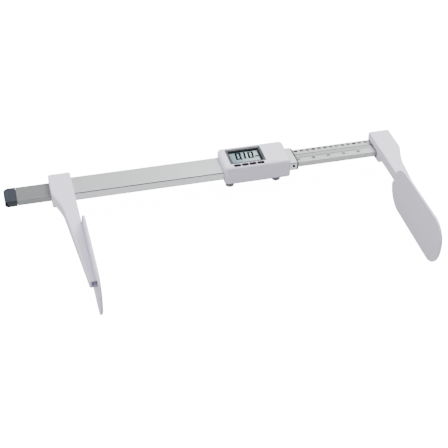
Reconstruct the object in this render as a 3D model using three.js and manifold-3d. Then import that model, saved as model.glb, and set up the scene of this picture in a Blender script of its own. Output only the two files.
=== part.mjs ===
// Digital length measuring rod: an inner rail slides through an outer rail, and each carries an arm
// with a flat paddle. The length is read between the paddles' facing sides.
// Millimetres, +Z up. +X runs along the rails towards the sliding arm, and the arms reach towards -Y.
// While it is being designed, X = 0 is the outer rail's reading edge and Y = Z = 0 is the rails' axis.
// The finished group is moved so that its origin is at the centre of its bounding box's underside.
import * as THREE from 'three';
import { mergeVertices } from 'three/addons/utils/BufferGeometryUtils.js';
import Module from 'manifold-3d';

const wasm = await Module();
wasm.setup();

// ---- driving dimensions ----
const FIT = 0.2;                 // gap left between pieces that are glued, screwed or pushed together
const REST_LENGTH = 485;         // length read between the paddles at rest
const SLIDING_FACE_X = 129;      // sliding paddle's measuring face
const FIXED_FACE_X = SLIDING_FACE_X - REST_LENGTH;

const OUTER_RAIL = { width: 43.3, height: 15.1, wall: 1.6, left: -390, right: -2.4, chamfer: 0.6 };
const GROOVE = { land: 0.9, width: 1.2, deep: 0.8 };       // along the outer rail's sides, near the top
const INNER_RAIL = { width: 37.2, height: 9.7, wall: 1.6, left: -446, right: 160, chamfer: 0.5 };
const TAPE = { width: 8.4, thick: 0.35, recess: 0.7, left: -392, right: 126 };
const END_CAP = { length: 17, plug: 12, overlap: 4, backCorner: 7, frontCorner: 4.5, edge: 1.4 };
const BUSHING = { flange: 2.2, plug: 20, runGap: 0.2, corner: 1 };
const BUSHING_SCREW = { x: -7.8, z: 1.1, head: 2.2, headHeight: 1.1, shank: 1, length: 2.7 };
const LEAF = { x: -70, length: 60, width: 12, thick: 0.35, rise: 0.4 };

const ARM = {
  blockDepth: 34.5, back: 24, blockFront: -26, blockBottom: -10, top: 18.6, underside: 0.5,
  slopeStart: -100, tipY: -242, tipTop: 12.5, tipWidth: 8.4, wall: 2.6, pocketStart: -50, pocketEnd: -205,
  planRound: 2.5, backRound: 6, fillet: 20, railRun: 0.6,
};
const SHOULDER = { y: -76, width: 22, midY: [-40, -54], midWidth: [33.5, 25] };   // from block to taper
const TIP_NOOK = { depth: 26, outerWall: 3, floor: 1, roof: 1.2 };                 // recess in the arm's end
const ARM_SCREW = {
  head: 2.9, headHeight: 1.8, shank: 1.4, y: 13, inset: 17, fixedLength: 2.1, slidingLength: 4.2,
};
const MOUTH = { gap: 1.6, corner: 3, depth: 5 };           // of the sliding arm's socket

const BLADE = { thick: 3.6, chamfer: 0.6, rim: 2.4, dish: 2.4 };
const BLADE_CORNERS = [          // quarter ellipses in Y and Z, and the quarter turn each starts at
  { y: -246, z: 12, ry: 38.5, rz: 49, turn: 2 },
  { y: -132, z: 0, ry: 33, rz: 34.5, turn: 3 },
  { y: -146, z: 10, ry: 40, rz: 34, turn: 0 },
  { y: -254, z: 14, ry: 30.5, rz: 30, turn: 1 },
];
const BLADE_SCREWS = [{ y: -118, z: 8.5 }, { y: -172, z: 7.5 }];
const BLADE_SCREW = { head: 2.4, headHeight: 1.6, shank: 1.25, length: 5.2, cover: 0.8 };

const HOUSING = {
  left: -122.5, right: -14.5, halfDepth: 30, bottom: -10.5, top: 19, wall: 2.2, corner: 6, edge: 4,
  cover: 1.9, lip: 1.1, tongue: 0.7, railGap: 0.35, openingGap: 0.25,
};
const COVER_BOTTOM = HOUSING.bottom - HOUSING.lip;
const SHELL_ROOF = HOUSING.top - HOUSING.wall;
const DISPLAY = {
  left: -111.5, right: -53.5, back: 23, front: -19.5, border: 4, flangeDrop: 1.4, topDrop: 0.5,
};
const PANEL = { top: 15.2, thick: 2.2 };
const CONNECTOR = { inset: 4, halfWidth: 1 };
const BUTTON = {
  count: 4, firstX: -102, pitch: 12.7, y: -24.2, width: 11.4, depth: 5.4, corner: 1.6, proud: 0.7,
};
const KEY = {
  matTop: 11.7, pusher: 12.6, pusherHalf: 1.4, flangeTop: SHELL_ROOF - 0.2, flangeThick: 1.3, lip: 0.4,
};
const DOME = { base: 2.2, top: 1.6, matHalf: 2.3, matThick: 0.75, margin: 1 };
const FOOT = { radius: 7, height: 5.4, xs: [-114, -38], y: 23, round: 0.9, chamfer: 0.4 };
const CELL = { radius: 10, thick: 3.2, y: 16 };
const TRAY = {
  x: -36, width: 23, back: 30, front: 3, floor: 10.4, floorThick: 1, height: 4.4, slotHalf: 4,
  doorWidth: 28, doorHeight: 6.4,
};
const CONTACT = { thick: 0.4, halfLower: 2.5, halfEnd: 6, height: 5, reach: 2.5 };
const BOARD = { bottom: 9, top: 10, gap: 0.8, corner: 4 };
const SEAT_GAP = 0.15;           // between the board and the pieces on it
const READER = { x: -70, length: 26, width: 10, bottom: 5.8, window: 2 };
const HOUSING_SCREW = {
  xs: [-98, -24], y: 24.9, head: 2.3, headHeight: 1.5, shank: 1.2, length: 9, bossHalf: 2.9,
};

// ---- small tools ----
const ROUND = 16;                // sides of a small round piece

function box(x0, x1, y0, y1, z0, z1) {
  const shape = new THREE.BoxGeometry(x1 - x0, y1 - y0, z1 - z0);
  return shape.translate((x0 + x1) / 2, (y0 + y1) / 2, (z0 + z1) / 2);
}

function toSolid(geometry) {
  const bare = geometry.clone();
  bare.deleteAttribute('normal');
  bare.deleteAttribute('uv');
  const merged = mergeVertices(bare, 1e-4);
  return new wasm.Manifold(new wasm.Mesh({
    numProp: 3,
    vertProperties: new Float32Array(merged.attributes.position.array),
    triVerts: new Uint32Array(merged.index.array),
  }));
}

function toGeometry(solid) {
  const mesh = solid.getMesh();
  const geometry = new THREE.BufferGeometry();
  geometry.setAttribute('position', new THREE.BufferAttribute(new Float32Array(mesh.vertProperties), 3));
  geometry.setIndex(new THREE.BufferAttribute(new Uint32Array(mesh.triVerts), 1));
  geometry.computeVertexNormals();
  return geometry;
}

function cut(geometry, ...tools) {
  return toGeometry(tools.reduce((solid, tool) => solid.subtract(toSolid(tool)), toSolid(geometry)));
}

function join(geometry, ...others) {
  return toGeometry(others.reduce((solid, other) => solid.add(toSolid(other)), toSolid(geometry)));
}

function overlap(first, second) {
  return toGeometry(toSolid(first).intersect(toSolid(second)));
}

const AXIS = { x: new THREE.Vector3(1, 0, 0), y: new THREE.Vector3(0, 1, 0), z: new THREE.Vector3(0, 0, 1) };

function ordered(...ends) {
  return ends.sort((a, b) => a - b);
}

// A section in Y and Z, drawn out along X from x0 to x1.
function alongX(section, x0, x1, options = {}) {
  const bevel = options.bevel ?? 0;
  const geometry = new THREE.ExtrudeGeometry(section, {
    depth: x1 - x0 - 2 * bevel, bevelEnabled: bevel > 0, bevelThickness: bevel, bevelSize: bevel,
    bevelOffset: -bevel, bevelSegments: 1, curveSegments: options.curve ?? 6,
  });
  geometry.applyMatrix4(new THREE.Matrix4().makeBasis(AXIS.y, AXIS.z, AXIS.x));
  return geometry.translate(x0 + bevel, 0, 0);
}

// An outline in X and Y, drawn up along Z from z0 to z1, with its end edges rounded.
function upZ(outline, z0, z1, edge = 0, segments = 2) {
  const geometry = new THREE.ExtrudeGeometry(outline, {
    depth: z1 - z0 - 2 * edge, bevelEnabled: edge > 0, bevelThickness: edge, bevelSize: edge,
    bevelOffset: -edge, bevelSegments: segments, curveSegments: 3,
  });
  return geometry.translate(0, 0, z0 + edge);
}

function rectangle(x0, x1, y0, y1, corner = 0, path = new THREE.Shape()) {
  if (corner === 0) {
    path.moveTo(x0, y0).lineTo(x1, y0).lineTo(x1, y1).lineTo(x0, y1).closePath();
    return path;
  }
  path.moveTo(x0 + corner, y0).lineTo(x1 - corner, y0);
  path.absarc(x1 - corner, y0 + corner, corner, -Math.PI / 2, 0, false);
  path.lineTo(x1, y1 - corner).absarc(x1 - corner, y1 - corner, corner, 0, Math.PI / 2, false);
  path.lineTo(x0 + corner, y1).absarc(x0 + corner, y1 - corner, corner, Math.PI / 2, Math.PI, false);
  path.lineTo(x0, y0 + corner).absarc(x0 + corner, y0 + corner, corner, Math.PI, 1.5 * Math.PI, false);
  return path;
}

// A turned piece about Z: profile is [radius, height] pairs from the axis, up and back to the axis.
function turned(profile, sides = ROUND) {
  return new THREE.LatheGeometry(profile.map(([r, z]) => new THREE.Vector2(r, z)), sides)
    .rotateX(Math.PI / 2);
}

function rod(radius, z0, z1, sides = 12) {
  return turned([[0, z0], [radius, z0], [radius, z1], [0, z1]], sides);
}

// A screw with its head's underside at the origin, head towards -Z and shank towards +Z.
function screwBody({ head, headHeight, shank, length }) {
  const dish = headHeight * 0.35;
  const socket = head * 0.45;
  return turned([
    [0, -headHeight + dish], [socket, -headHeight + dish], [socket, -headHeight],
    [head - dish, -headHeight], [head, -headHeight + dish], [head, 0],
    [shank, 0], [shank, length - shank * 0.6], [shank * 0.4, length], [0, length],
  ], 10);
}

// ---- materials ----
const FINISH = {
  whitePlastic: { color: 0xe4e3ea, roughness: 0.5, metalness: 0 },
  railMetal: { color: 0xb9c0bd, roughness: 0.38, metalness: 0.9 },
  darkPlastic: { color: 0x3a444f, roughness: 0.55, metalness: 0 },
  greyPlastic: { color: 0x77777c, roughness: 0.6, metalness: 0 },
  bezelPlastic: { color: 0x8d8b98, roughness: 0.5, metalness: 0 },
  buttonRubber: { color: 0x2a2833, roughness: 0.7, metalness: 0 },
  footRubber: { color: 0x3b3b40, roughness: 0.85, metalness: 0 },
  displayGlass: { color: 0x9fb3b4, roughness: 0.15, metalness: 0 },
  board: { color: 0x1f5a3a, roughness: 0.6, metalness: 0 },
  chip: { color: 0x202024, roughness: 0.5, metalness: 0 },
  silicone: { color: 0xb9b6ae, roughness: 0.8, metalness: 0 },
  blackSteel: { color: 0x232428, roughness: 0.4, metalness: 0.8 },
  brightSteel: { color: 0xc9c9c6, roughness: 0.3, metalness: 1 },
  tape: { color: 0xd5dad8, roughness: 0.3, metalness: 0.4 },
};

function part(name, finish, geometry) {
  const mesh = new THREE.Mesh(geometry, new THREE.MeshStandardMaterial(FINISH[finish]));
  mesh.name = name;
  return mesh;
}

// ---- rails ----
function outerRailSection() {
  const { width, height, wall, chamfer } = OUTER_RAIL;
  const y = width / 2;
  const z = height / 2;
  const high = z - GROOVE.land;
  const low = high - GROOVE.width;
  const floor = y - GROOVE.deep;
  const shape = new THREE.Shape();
  shape.moveTo(-y + chamfer, -z).lineTo(y - chamfer, -z).lineTo(y, -z + chamfer);
  shape.lineTo(y, low).lineTo(floor, low).lineTo(floor, high).lineTo(y, high).lineTo(y, z - chamfer);
  shape.lineTo(y - chamfer, z).lineTo(-y + chamfer, z).lineTo(-y, z - chamfer);
  shape.lineTo(-y, high).lineTo(-floor, high).lineTo(-floor, low).lineTo(-y, low);
  shape.lineTo(-y, -z + chamfer).closePath();
  shape.holes.push(rectangle(-y + wall, y - wall, -z + wall, z - wall, 0, new THREE.Path()));
  return shape;
}

// The outer rail, with a window in its top wall for the reader and holes for the fastening screws.
function outerRail() {
  const { left, right, height, width, wall } = OUTER_RAIL;
  const windowX = READER.length / 2 + READER.window;
  const windowY = READER.width / 2 + READER.window;
  const window = box(READER.x - windowX, READER.x + windowX, -windowY, windowY,
    height / 2 - wall - 1, height / 2 + 1);
  const armHoles = [-1, 1].map((side) => rod(ARM_SCREW.shank + FIT, -height / 2 - 1, -height / 2 + wall + 0.5)
    .translate(FIXED_FACE_X - BLADE.thick - FIT - ARM_SCREW.inset, side * ARM_SCREW.y, 0));
  const sideHoles = [-1, 1].map((side) => rod(BUSHING_SCREW.shank + FIT, -1, wall + 1)
    .rotateX(-side * Math.PI / 2).translate(BUSHING_SCREW.x, side * (width / 2 - wall), BUSHING_SCREW.z));
  return cut(alongX(outerRailSection(), left, right), window, ...armHoles, ...sideHoles);
}

// The inner rail, with a recess in its top for the measuring strip.
function innerRail() {
  const { width, height, wall, left, right, chamfer } = INNER_RAIL;
  const y = width / 2;
  const z = height / 2;
  const shape = new THREE.Shape();
  shape.moveTo(-y + chamfer, -z).lineTo(y - chamfer, -z).lineTo(y, -z + chamfer).lineTo(y, z - chamfer);
  shape.lineTo(y - chamfer, z).lineTo(-y + chamfer, z).lineTo(-y, z - chamfer);
  shape.lineTo(-y, -z + chamfer).closePath();
  shape.holes.push(rectangle(-y + wall, y - wall, -z + wall, z - wall - TAPE.recess, 0, new THREE.Path()));
  const holes = [-1, 1].map((side) => rod(ARM_SCREW.shank + FIT, -z - 1, -z + wall + 1)
    .translate(SLIDING_FACE_X + BLADE.thick + FIT + ARM_SCREW.inset, side * ARM_SCREW.y, 0));
  const recessY = TAPE.width / 2 + FIT;
  const recess = box(TAPE.left - FIT, right + 1, -recessY, recessY, z - TAPE.recess, z + 1);
  return cut(alongX(shape, left, right), recess, ...holes);
}

function encoderTape() {
  const glue = 0.1;
  const bottom = INNER_RAIL.height / 2 - TAPE.recess + glue;
  return box(TAPE.left, TAPE.right, -TAPE.width / 2, TAPE.width / 2, bottom, bottom + TAPE.thick);
}

// The cap closes the inner rail's free end: a nose as big as the rail, with round corners in plan, on a plug.
function railEndCap() {
  const { width, height, wall, left } = INNER_RAIL;
  const { length, plug, overlap: lap, backCorner, frontCorner, edge } = END_CAP;
  const start = left - length;
  const end = left - FIT;
  const y = width / 2;
  const outline = new THREE.Shape();
  outline.moveTo(end, -y).lineTo(end, y).lineTo(start + backCorner, y);
  outline.absarc(start + backCorner, y - backCorner, backCorner, Math.PI / 2, Math.PI, false);
  outline.lineTo(start, -y + frontCorner);
  outline.absarc(start + frontCorner, -y + frontCorner, frontCorner, Math.PI, 1.5 * Math.PI, false);
  outline.closePath();
  const nose = upZ(outline, -height / 2, height / 2, edge);
  const gap = wall + FIT;
  return join(nose, box(left - lap, left + plug, -y + gap, y - gap,
    -height / 2 + gap, height / 2 - gap - TAPE.recess));
}

// A bushing that carries the inner rail in an end of the outer rail: a flange and a sleeve.
function railBushing(endX, side) {
  const runY = INNER_RAIL.width / 2 + BUSHING.runGap;
  const runZ = INNER_RAIL.height / 2 + BUSHING.runGap;
  const plugY = OUTER_RAIL.width / 2 - OUTER_RAIL.wall - FIT;
  const plugZ = OUTER_RAIL.height / 2 - OUTER_RAIL.wall - FIT;
  const at = (near, far) => ordered(endX + side * near, endX + side * far);
  const flange = rectangle(-OUTER_RAIL.width / 2, OUTER_RAIL.width / 2,
    -OUTER_RAIL.height / 2, OUTER_RAIL.height / 2, BUSHING.corner);
  const body = join(
    alongX(flange, ...at(FIT, FIT + BUSHING.flange), { curve: 2 }),
    box(...at(-BUSHING.plug, FIT + BUSHING.flange / 2), -plugY, plugY, -plugZ, plugZ),
  );
  const bore = box(...at(-BUSHING.plug - 1, BUSHING.flange + 1), -runY, runY, -runZ, runZ);
  const holes = [-1, 1].map((way) => rod(BUSHING_SCREW.shank + FIT, 0, 6).rotateX(-way * Math.PI / 2)
    .translate(BUSHING_SCREW.x, way * (runY - 2), BUSHING_SCREW.z));
  return side > 0 ? cut(body, bore, ...holes) : cut(body, bore);
}

function bushingScrew(side) {
  const clear = 0.05;
  return screwBody(BUSHING_SCREW).rotateX(side * Math.PI / 2)
    .translate(BUSHING_SCREW.x, side * (OUTER_RAIL.width / 2 + clear), BUSHING_SCREW.z);
}

// A bowed leaf under the inner rail that holds the slide where it is put.
function dragSpring() {
  const low = -OUTER_RAIL.height / 2 + OUTER_RAIL.wall + 0.1;
  const high = low + LEAF.thick;
  const half = LEAF.length / 2;
  const shape = new THREE.Shape();
  shape.moveTo(-half, low).quadraticCurveTo(0, low + 2 * LEAF.rise, half, low);
  shape.lineTo(half, high).quadraticCurveTo(0, high + 2 * LEAF.rise, -half, high).closePath();
  const options = { depth: LEAF.width, bevelEnabled: false, curveSegments: 5 };
  const geometry = new THREE.ExtrudeGeometry(shape, options);
  return geometry.rotateX(Math.PI / 2).translate(LEAF.x, LEAF.width / 2, 0);
}

// ---- arms and paddles ----
// The arm's plan, seen from above. u is the distance from the arm's face, away from the paddle's gap.
function armPlan(faceX, side) {
  const { blockDepth, back, blockFront, tipY, tipWidth, planRound: round } = ARM;
  const at = (u) => faceX + side * u;
  const shape = new THREE.Shape();
  shape.moveTo(at(0), back - round).quadraticCurveTo(at(0), back, at(round), back);
  shape.lineTo(at(blockDepth - round), back);
  shape.quadraticCurveTo(at(blockDepth), back, at(blockDepth), back - round);
  shape.lineTo(at(blockDepth), blockFront);
  const [[y1, y2], [u1, u2]] = [SHOULDER.midY, SHOULDER.midWidth];
  shape.bezierCurveTo(at(u1), y1, at(u2), y2, at(SHOULDER.width), SHOULDER.y);
  shape.lineTo(at(tipWidth), tipY).lineTo(at(0), tipY).closePath();
  return shape;
}

// The arm's side view in Y and Z: a deep block round the rail, and a shallower arm that tapers.
function armSide() {
  const { back, blockFront, blockBottom, top, underside, slopeStart, tipY, tipTop, backRound, fillet } = ARM;
  const shape = new THREE.Shape();
  shape.moveTo(back, blockBottom).lineTo(back, top - backRound);
  shape.quadraticCurveTo(back, top, back - backRound, top);
  shape.lineTo(slopeStart, top).lineTo(tipY, tipTop).lineTo(tipY, underside);
  shape.lineTo(blockFront - fillet, underside);
  shape.bezierCurveTo(blockFront - fillet * 0.6, underside, blockFront - fillet * 0.3, blockBottom,
    blockFront, blockBottom);
  shape.closePath();
  return shape;
}

// Height of the arm's top at y, where it slopes down to its tip.
function armTop(y) {
  const along = Math.max(0, (ARM.slopeStart - y) / (ARM.slopeStart - ARM.tipY));
  return ARM.top + (ARM.tipTop - ARM.top) * along;
}

// Width of the arm at y, along its straight taper.
function armWidth(y) {
  return SHOULDER.width + (ARM.tipWidth - SHOULDER.width) * (SHOULDER.y - y) / (SHOULDER.y - ARM.tipY);
}

// The arm is hollow from below between the block and its tip.
function armPocket(faceX, side) {
  const { wall, pocketStart, pocketEnd, blockBottom, top, slopeStart } = ARM;
  const at = (u) => faceX + side * u;
  const plan = new THREE.Shape();
  plan.moveTo(at(wall), pocketStart).lineTo(at(armWidth(pocketStart) - wall), pocketStart);
  plan.lineTo(at(armWidth(pocketEnd) - wall), pocketEnd).lineTo(at(wall), pocketEnd).closePath();
  const roof = new THREE.Shape();
  roof.moveTo(pocketStart + 1, blockBottom).lineTo(pocketStart + 1, top - wall);
  roof.lineTo(slopeStart, top - wall);
  roof.lineTo(pocketEnd - 1, armTop(pocketEnd) - wall).lineTo(pocketEnd - 1, blockBottom).closePath();
  return overlap(upZ(plan, blockBottom, top), alongX(roof, ...ordered(at(0), at(ARM.blockDepth))));
}

// The recess in the arm's end, which runs on into the paddle's land as deep as its dish.
function tipNook(faceX, side) {
  const { depth, outerWall, floor, roof } = TIP_NOOK;
  const span = ordered(faceX - side * (FIT + BLADE.dish), faceX + side * (ARM.tipWidth - outerWall));
  return box(...span, ARM.tipY - 1, ARM.tipY + depth, ARM.underside + floor, ARM.tipTop - roof);
}

function bladeHoles(faceX, side, from, to) {
  return BLADE_SCREWS.map(({ y, z }) => rod(BLADE_SCREW.shank + FIT, from, to).rotateY(side * Math.PI / 2)
    .translate(faceX, y, z));
}

function armBody(faceX, side, sockets) {
  const plan = upZ(armPlan(faceX, side), ARM.blockBottom - 1, ARM.top + 1);
  const span = ordered(faceX - side, faceX + side * (ARM.blockDepth + 1));
  const whole = overlap(plan, alongX(armSide(), ...span));
  const screwHoles = [-1, 1].flatMap((way) => [
    rod(ARM_SCREW.head + FIT, ARM.blockBottom - 1, ARM.blockBottom + ARM_SCREW.headHeight + FIT),
    rod(ARM_SCREW.shank + FIT, ARM.blockBottom, 0),
  ].map((hole) => hole.translate(faceX + side * ARM_SCREW.inset, way * ARM_SCREW.y, 0)));
  return cut(whole, armPocket(faceX, side), tipNook(faceX, side), ...sockets, ...screwHoles,
    ...bladeHoles(faceX, side, -1, ARM.wall + 1));
}

const FIXED_ARM_X = FIXED_FACE_X - BLADE.thick - FIT;
const SLIDING_ARM_X = SLIDING_FACE_X + BLADE.thick + FIT;

// The fixed arm holds the end of the outer rail, and the inner rail runs out through its far wall.
function fixedArm() {
  const y = OUTER_RAIL.width / 2 + FIT;
  const z = OUTER_RAIL.height / 2 + FIT;
  const runY = INNER_RAIL.width / 2 + ARM.railRun;
  const runZ = INNER_RAIL.height / 2 + ARM.railRun;
  const seat = OUTER_RAIL.left - BUSHING.flange - 2 * FIT;
  return armBody(FIXED_ARM_X, -1, [
    box(seat, FIXED_ARM_X + 1, -y, y, -z, z),
    box(FIXED_ARM_X - ARM.blockDepth - 1, seat + 1, -runY, runY, -runZ, runZ),
  ]);
}

// The sliding arm holds the inner rail's end in a blind socket with a wider, round-cornered mouth.
function slidingArm() {
  const y = INNER_RAIL.width / 2;
  const z = INNER_RAIL.height / 2;
  const { gap, corner, depth } = MOUTH;
  return armBody(SLIDING_ARM_X, 1, [
    box(SLIDING_ARM_X - 1, INNER_RAIL.right + FIT, -y - FIT, y + FIT, -z - FIT, z + FIT),
    alongX(rectangle(-y - gap, y + gap, -z - gap, z + gap, corner), SLIDING_ARM_X - 1, SLIDING_ARM_X + depth,
      { curve: 4 }),
  ]);
}

// The paddle's outline in Y and Z, moved in by inset: two straight edges joined by quarter ellipses.
function bladeOutline(inset = 0) {
  const shape = new THREE.Shape();
  const quarter = Math.PI / 2;
  BLADE_CORNERS.forEach(({ y, z, ry, rz, turn }) => {
    shape.absellipse(y, z, ry - inset, rz - inset, turn * quarter, (turn + 1) * quarter, false);
  });
  return shape;
}

// A paddle: flat towards the gap, and dished behind, except for a land that the arm sits on.
function blade(faceX, side) {
  const { thick, chamfer, rim, dish } = BLADE;
  const backX = faceX + side * thick;
  const plate = alongX(bladeOutline(), ...ordered(faceX, backX), { bevel: chamfer, curve: 8 });
  const land = alongX(armSide(), ...ordered(faceX, backX + side * 2));
  const pan = alongX(bladeOutline(rim), ...ordered(backX - side * dish, backX + side), { curve: 8 });
  return cut(plate, cut(pan, land), tipNook(backX + side * FIT, side),
    ...bladeHoles(backX, side, BLADE_SCREW.cover - thick, 1));
}

function bladeScrew(armX, side, { y, z }) {
  const clear = 0.1;
  return screwBody(BLADE_SCREW).rotateY(-side * Math.PI / 2)
    .translate(armX + side * (ARM.wall + clear), y, z);
}

function armScrew(armX, side, way) {
  const length = side < 0 ? ARM_SCREW.fixedLength : ARM_SCREW.slidingLength;
  const seat = ARM.blockBottom + ARM_SCREW.headHeight + FIT / 2;
  return screwBody({ ...ARM_SCREW, length })
    .translate(armX + side * ARM_SCREW.inset, way * ARM_SCREW.y, seat);
}

// ---- display housing ----
function buttonX(index) {
  return BUTTON.firstX + index * BUTTON.pitch;
}

// Bosses stand on the shell's side walls and end under the board.
function screwBosses() {
  const half = HOUSING_SCREW.bossHalf;
  const [low, high] = [HOUSING.bottom + HOUSING.cover + FIT, BOARD.bottom - 2 * FIT];
  const [near, far] = [HOUSING_SCREW.y - half, HOUSING.halfDepth - 1];
  return HOUSING_SCREW.xs.flatMap((x) => [-1, 1].map((side) => box(
    x - half, x + half, ...ordered(side * near, side * far), low, high)));
}

function housingScrewHoles(radius, z0, z1) {
  return HOUSING_SCREW.xs.flatMap((x) => [-1, 1].map((side) => rod(radius, z0, z1)
    .translate(x, side * HOUSING_SCREW.y, 0)));
}

// The top shell is one moulding, open below, that straddles the outer rail.
function topShell() {
  const { left, right, halfDepth, bottom, top, wall, corner, edge, railGap, openingGap: gap } = HOUSING;
  const below = bottom - 2 * edge;
  const outline = rectangle(left, right, -halfDepth, halfDepth, corner);
  const whole = overlap(upZ(outline, below, top, edge, 3),
    box(left, right, -halfDepth, halfDepth, bottom, top));
  const hollow = upZ(rectangle(left + wall, right - wall, -halfDepth + wall, halfDepth - wall, corner - wall),
    below, top - wall, 0.5, 1);
  const railY = OUTER_RAIL.width / 2 + railGap;
  const notch = box(left - 1, right + 1, -railY, railY, bottom - 1, OUTER_RAIL.height / 2 + railGap);
  const display = rectangle(DISPLAY.left, DISPLAY.right, DISPLAY.front, DISPLAY.back, 2);
  const window = upZ(display, top - edge, top + 1);
  const [keyX, keyY] = [BUTTON.width / 2 + gap, BUTTON.depth / 2 + gap];
  const keyway = rectangle(-keyX, keyX, BUTTON.y - keyY, BUTTON.y + keyY, BUTTON.corner);
  const keyways = Array.from({ length: BUTTON.count }, (_, i) => upZ(keyway, top - edge, top + 1)
    .translate(buttonX(i), 0, 0));
  const doorX = TRAY.doorWidth / 2 + gap;
  const door = box(TRAY.x - doorX, TRAY.x + doorX, halfDepth - wall - 1, halfDepth + 1,
    TRAY.floor - gap, TRAY.floor + TRAY.doorHeight + gap);
  const shell = join(cut(whole, hollow), ...screwBosses());
  return cut(shell, notch, window, ...keyways, door,
    ...housingScrewHoles(HOUSING_SCREW.shank + FIT, bottom, 4));
}

// The bottom cover closes the shell from below: a lip under the shell's rim, a plate inside it, and a tongue
// under the rail at each end.
function bottomCover() {
  const { left, right, halfDepth, bottom, wall, corner, cover: thick } = HOUSING;
  const inset = wall + FIT;
  const halfPlate = halfDepth - inset;
  const plate = upZ(rectangle(left + inset, right - inset, -halfPlate, halfPlate, corner - inset),
    COVER_BOTTOM, bottom + thick);
  const lip = upZ(rectangle(left, right, -halfDepth, halfDepth, corner), COVER_BOTTOM, bottom - FIT, 0.3, 1);
  const tongueY = OUTER_RAIL.width / 2 + FIT / 2;
  const tongue = box(left, right, -tongueY, tongueY, COVER_BOTTOM + 0.3, bottom + thick + HOUSING.tongue);
  const headSeat = COVER_BOTTOM + HOUSING_SCREW.headHeight + FIT / 2;
  return cut(join(plate, lip, tongue),
    ...housingScrewHoles(HOUSING_SCREW.head + FIT, COVER_BOTTOM - 1, headSeat),
    ...housingScrewHoles(HOUSING_SCREW.shank + FIT, COVER_BOTTOM, bottom + 4));
}

function housingScrew(x, side) {
  return screwBody(HOUSING_SCREW)
    .translate(x, side * HOUSING_SCREW.y, COVER_BOTTOM + HOUSING_SCREW.headHeight);
}

function foot(x, side) {
  const { radius, height, y, round, chamfer } = FOOT;
  const top = COVER_BOTTOM - FIT;
  const low = top - height;
  return turned([[0, low], [radius - round, low], [radius, low + round], [radius, top - chamfer],
    [radius - chamfer, top], [0, top]]).translate(x, side * y, 0);
}

// The display: a bezel round the glass, the liquid crystal panel, and two elastomer connectors.
function displayBezel() {
  const { left, right, front, back, border, flangeDrop, topDrop } = DISPLAY;
  const gap = SEAT_GAP;
  const low = SHELL_ROOF - flangeDrop;
  const ring = upZ(rectangle(left + gap, right - gap, front + gap, back - gap, 1.8),
    low, HOUSING.top - topDrop);
  const flange = box(left - 2, right + 2, front - 1, back + 2, low, SHELL_ROOF - FIT);
  const opening = box(left + border, right - border, front + border, back - border, 0, HOUSING.top);
  return cut(join(ring, flange), opening);
}

function displayPanel() {
  const { left, right, front, back } = DISPLAY;
  return box(left + 1, right - 1, front + 0.5, back - 1, PANEL.top - PANEL.thick, PANEL.top);
}

function displayConnector(side) {
  const middle = (DISPLAY.front + DISPLAY.back) / 2;
  const { inset, halfWidth } = CONNECTOR;
  const y = middle + side * ((DISPLAY.back - DISPLAY.front) / 2 - inset);
  return box(DISPLAY.left + inset, DISPLAY.right - inset, y - halfWidth, y + halfWidth,
    BOARD.top + SEAT_GAP, PANEL.top - PANEL.thick - SEAT_GAP);
}

function mainBoard() {
  const { left, right, halfDepth, wall } = HOUSING;
  const gap = wall + BOARD.gap;
  const outline = rectangle(left + gap, right - gap, -halfDepth + gap, halfDepth - gap, BOARD.corner);
  return upZ(outline, BOARD.bottom, BOARD.top);
}

function readerHead() {
  const { x, length, width, bottom } = READER;
  return box(x - length / 2, x + length / 2, -width / 2, width / 2, bottom, BOARD.bottom - SEAT_GAP);
}

// ---- keys ----
function keyMat() {
  const { base: wide, top: narrow, matHalf, matThick, margin } = DOME;
  const first = buttonX(0) - BUTTON.width / 2 - margin;
  const last = buttonX(BUTTON.count - 1) + BUTTON.width / 2 + margin;
  const low = BOARD.top + SEAT_GAP;
  const base = box(first, last, BUTTON.y - matHalf, BUTTON.y + matHalf, low, low + matThick);
  const start = low + matThick / 2;
  const domes = Array.from({ length: BUTTON.count }, (_, i) => turned([[0, start], [wide, start],
    [narrow, KEY.matTop], [0, KEY.matTop]], 12).translate(buttonX(i), BUTTON.y, 0));
  return join(base, ...domes);
}

function keyButton(index) {
  const { width, depth, y, proud } = BUTTON;
  const x = buttonX(index);
  const flangeBottom = KEY.flangeTop - KEY.flangeThick;
  const cap = upZ(rectangle(x - width / 2, x + width / 2, y - depth / 2, y + depth / 2, BUTTON.corner),
    flangeBottom, HOUSING.top + proud, 0.5, 1);
  const flange = box(x - width / 2 - KEY.lip, x + width / 2 + KEY.lip, y - depth / 2 - KEY.lip,
    y + depth / 2 + KEY.lip, flangeBottom, KEY.flangeTop);
  const half = KEY.pusherHalf;
  const pusher = box(x - half, x + half, y - half, y + half, KEY.pusher, flangeBottom + KEY.flangeThick / 2);
  return join(cap, flange, pusher);
}

// ---- battery ----
// A tray that carries the cell and ends in a flush door in the housing's rear wall.
function batteryTray() {
  const { x, width, back, front, floor, floorThick, height, doorWidth, doorHeight, slotHalf } = TRAY;
  const slab = box(x - width / 2, x + width / 2, front, back - 1, floor, floor + height);
  const door = box(x - doorWidth / 2, x + doorWidth / 2, back - HOUSING.wall + 2 * FIT, back,
    floor, floor + doorHeight);
  const seat = rod(CELL.radius + FIT, floor + floorThick, floor + height + 1, 32).translate(x, CELL.y, 0);
  const slot = box(x - slotHalf, x + slotHalf, front - 1, CELL.y + 3, floor - 1, floor + height + 1);
  return cut(join(slab, door), seat, slot);
}

function coinCell() {
  const { radius, thick, y } = CELL;
  const low = TRAY.floor + TRAY.floorThick + FIT / 2;
  return turned([[0, low], [radius - 1.5, low], [radius - 1.2, low + 0.4], [radius, low + 0.6],
    [radius, low + thick], [0, low + thick]], 32).translate(TRAY.x, y, 0);
}

const CONTACT_LOW = BOARD.top + 0.1;

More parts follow.
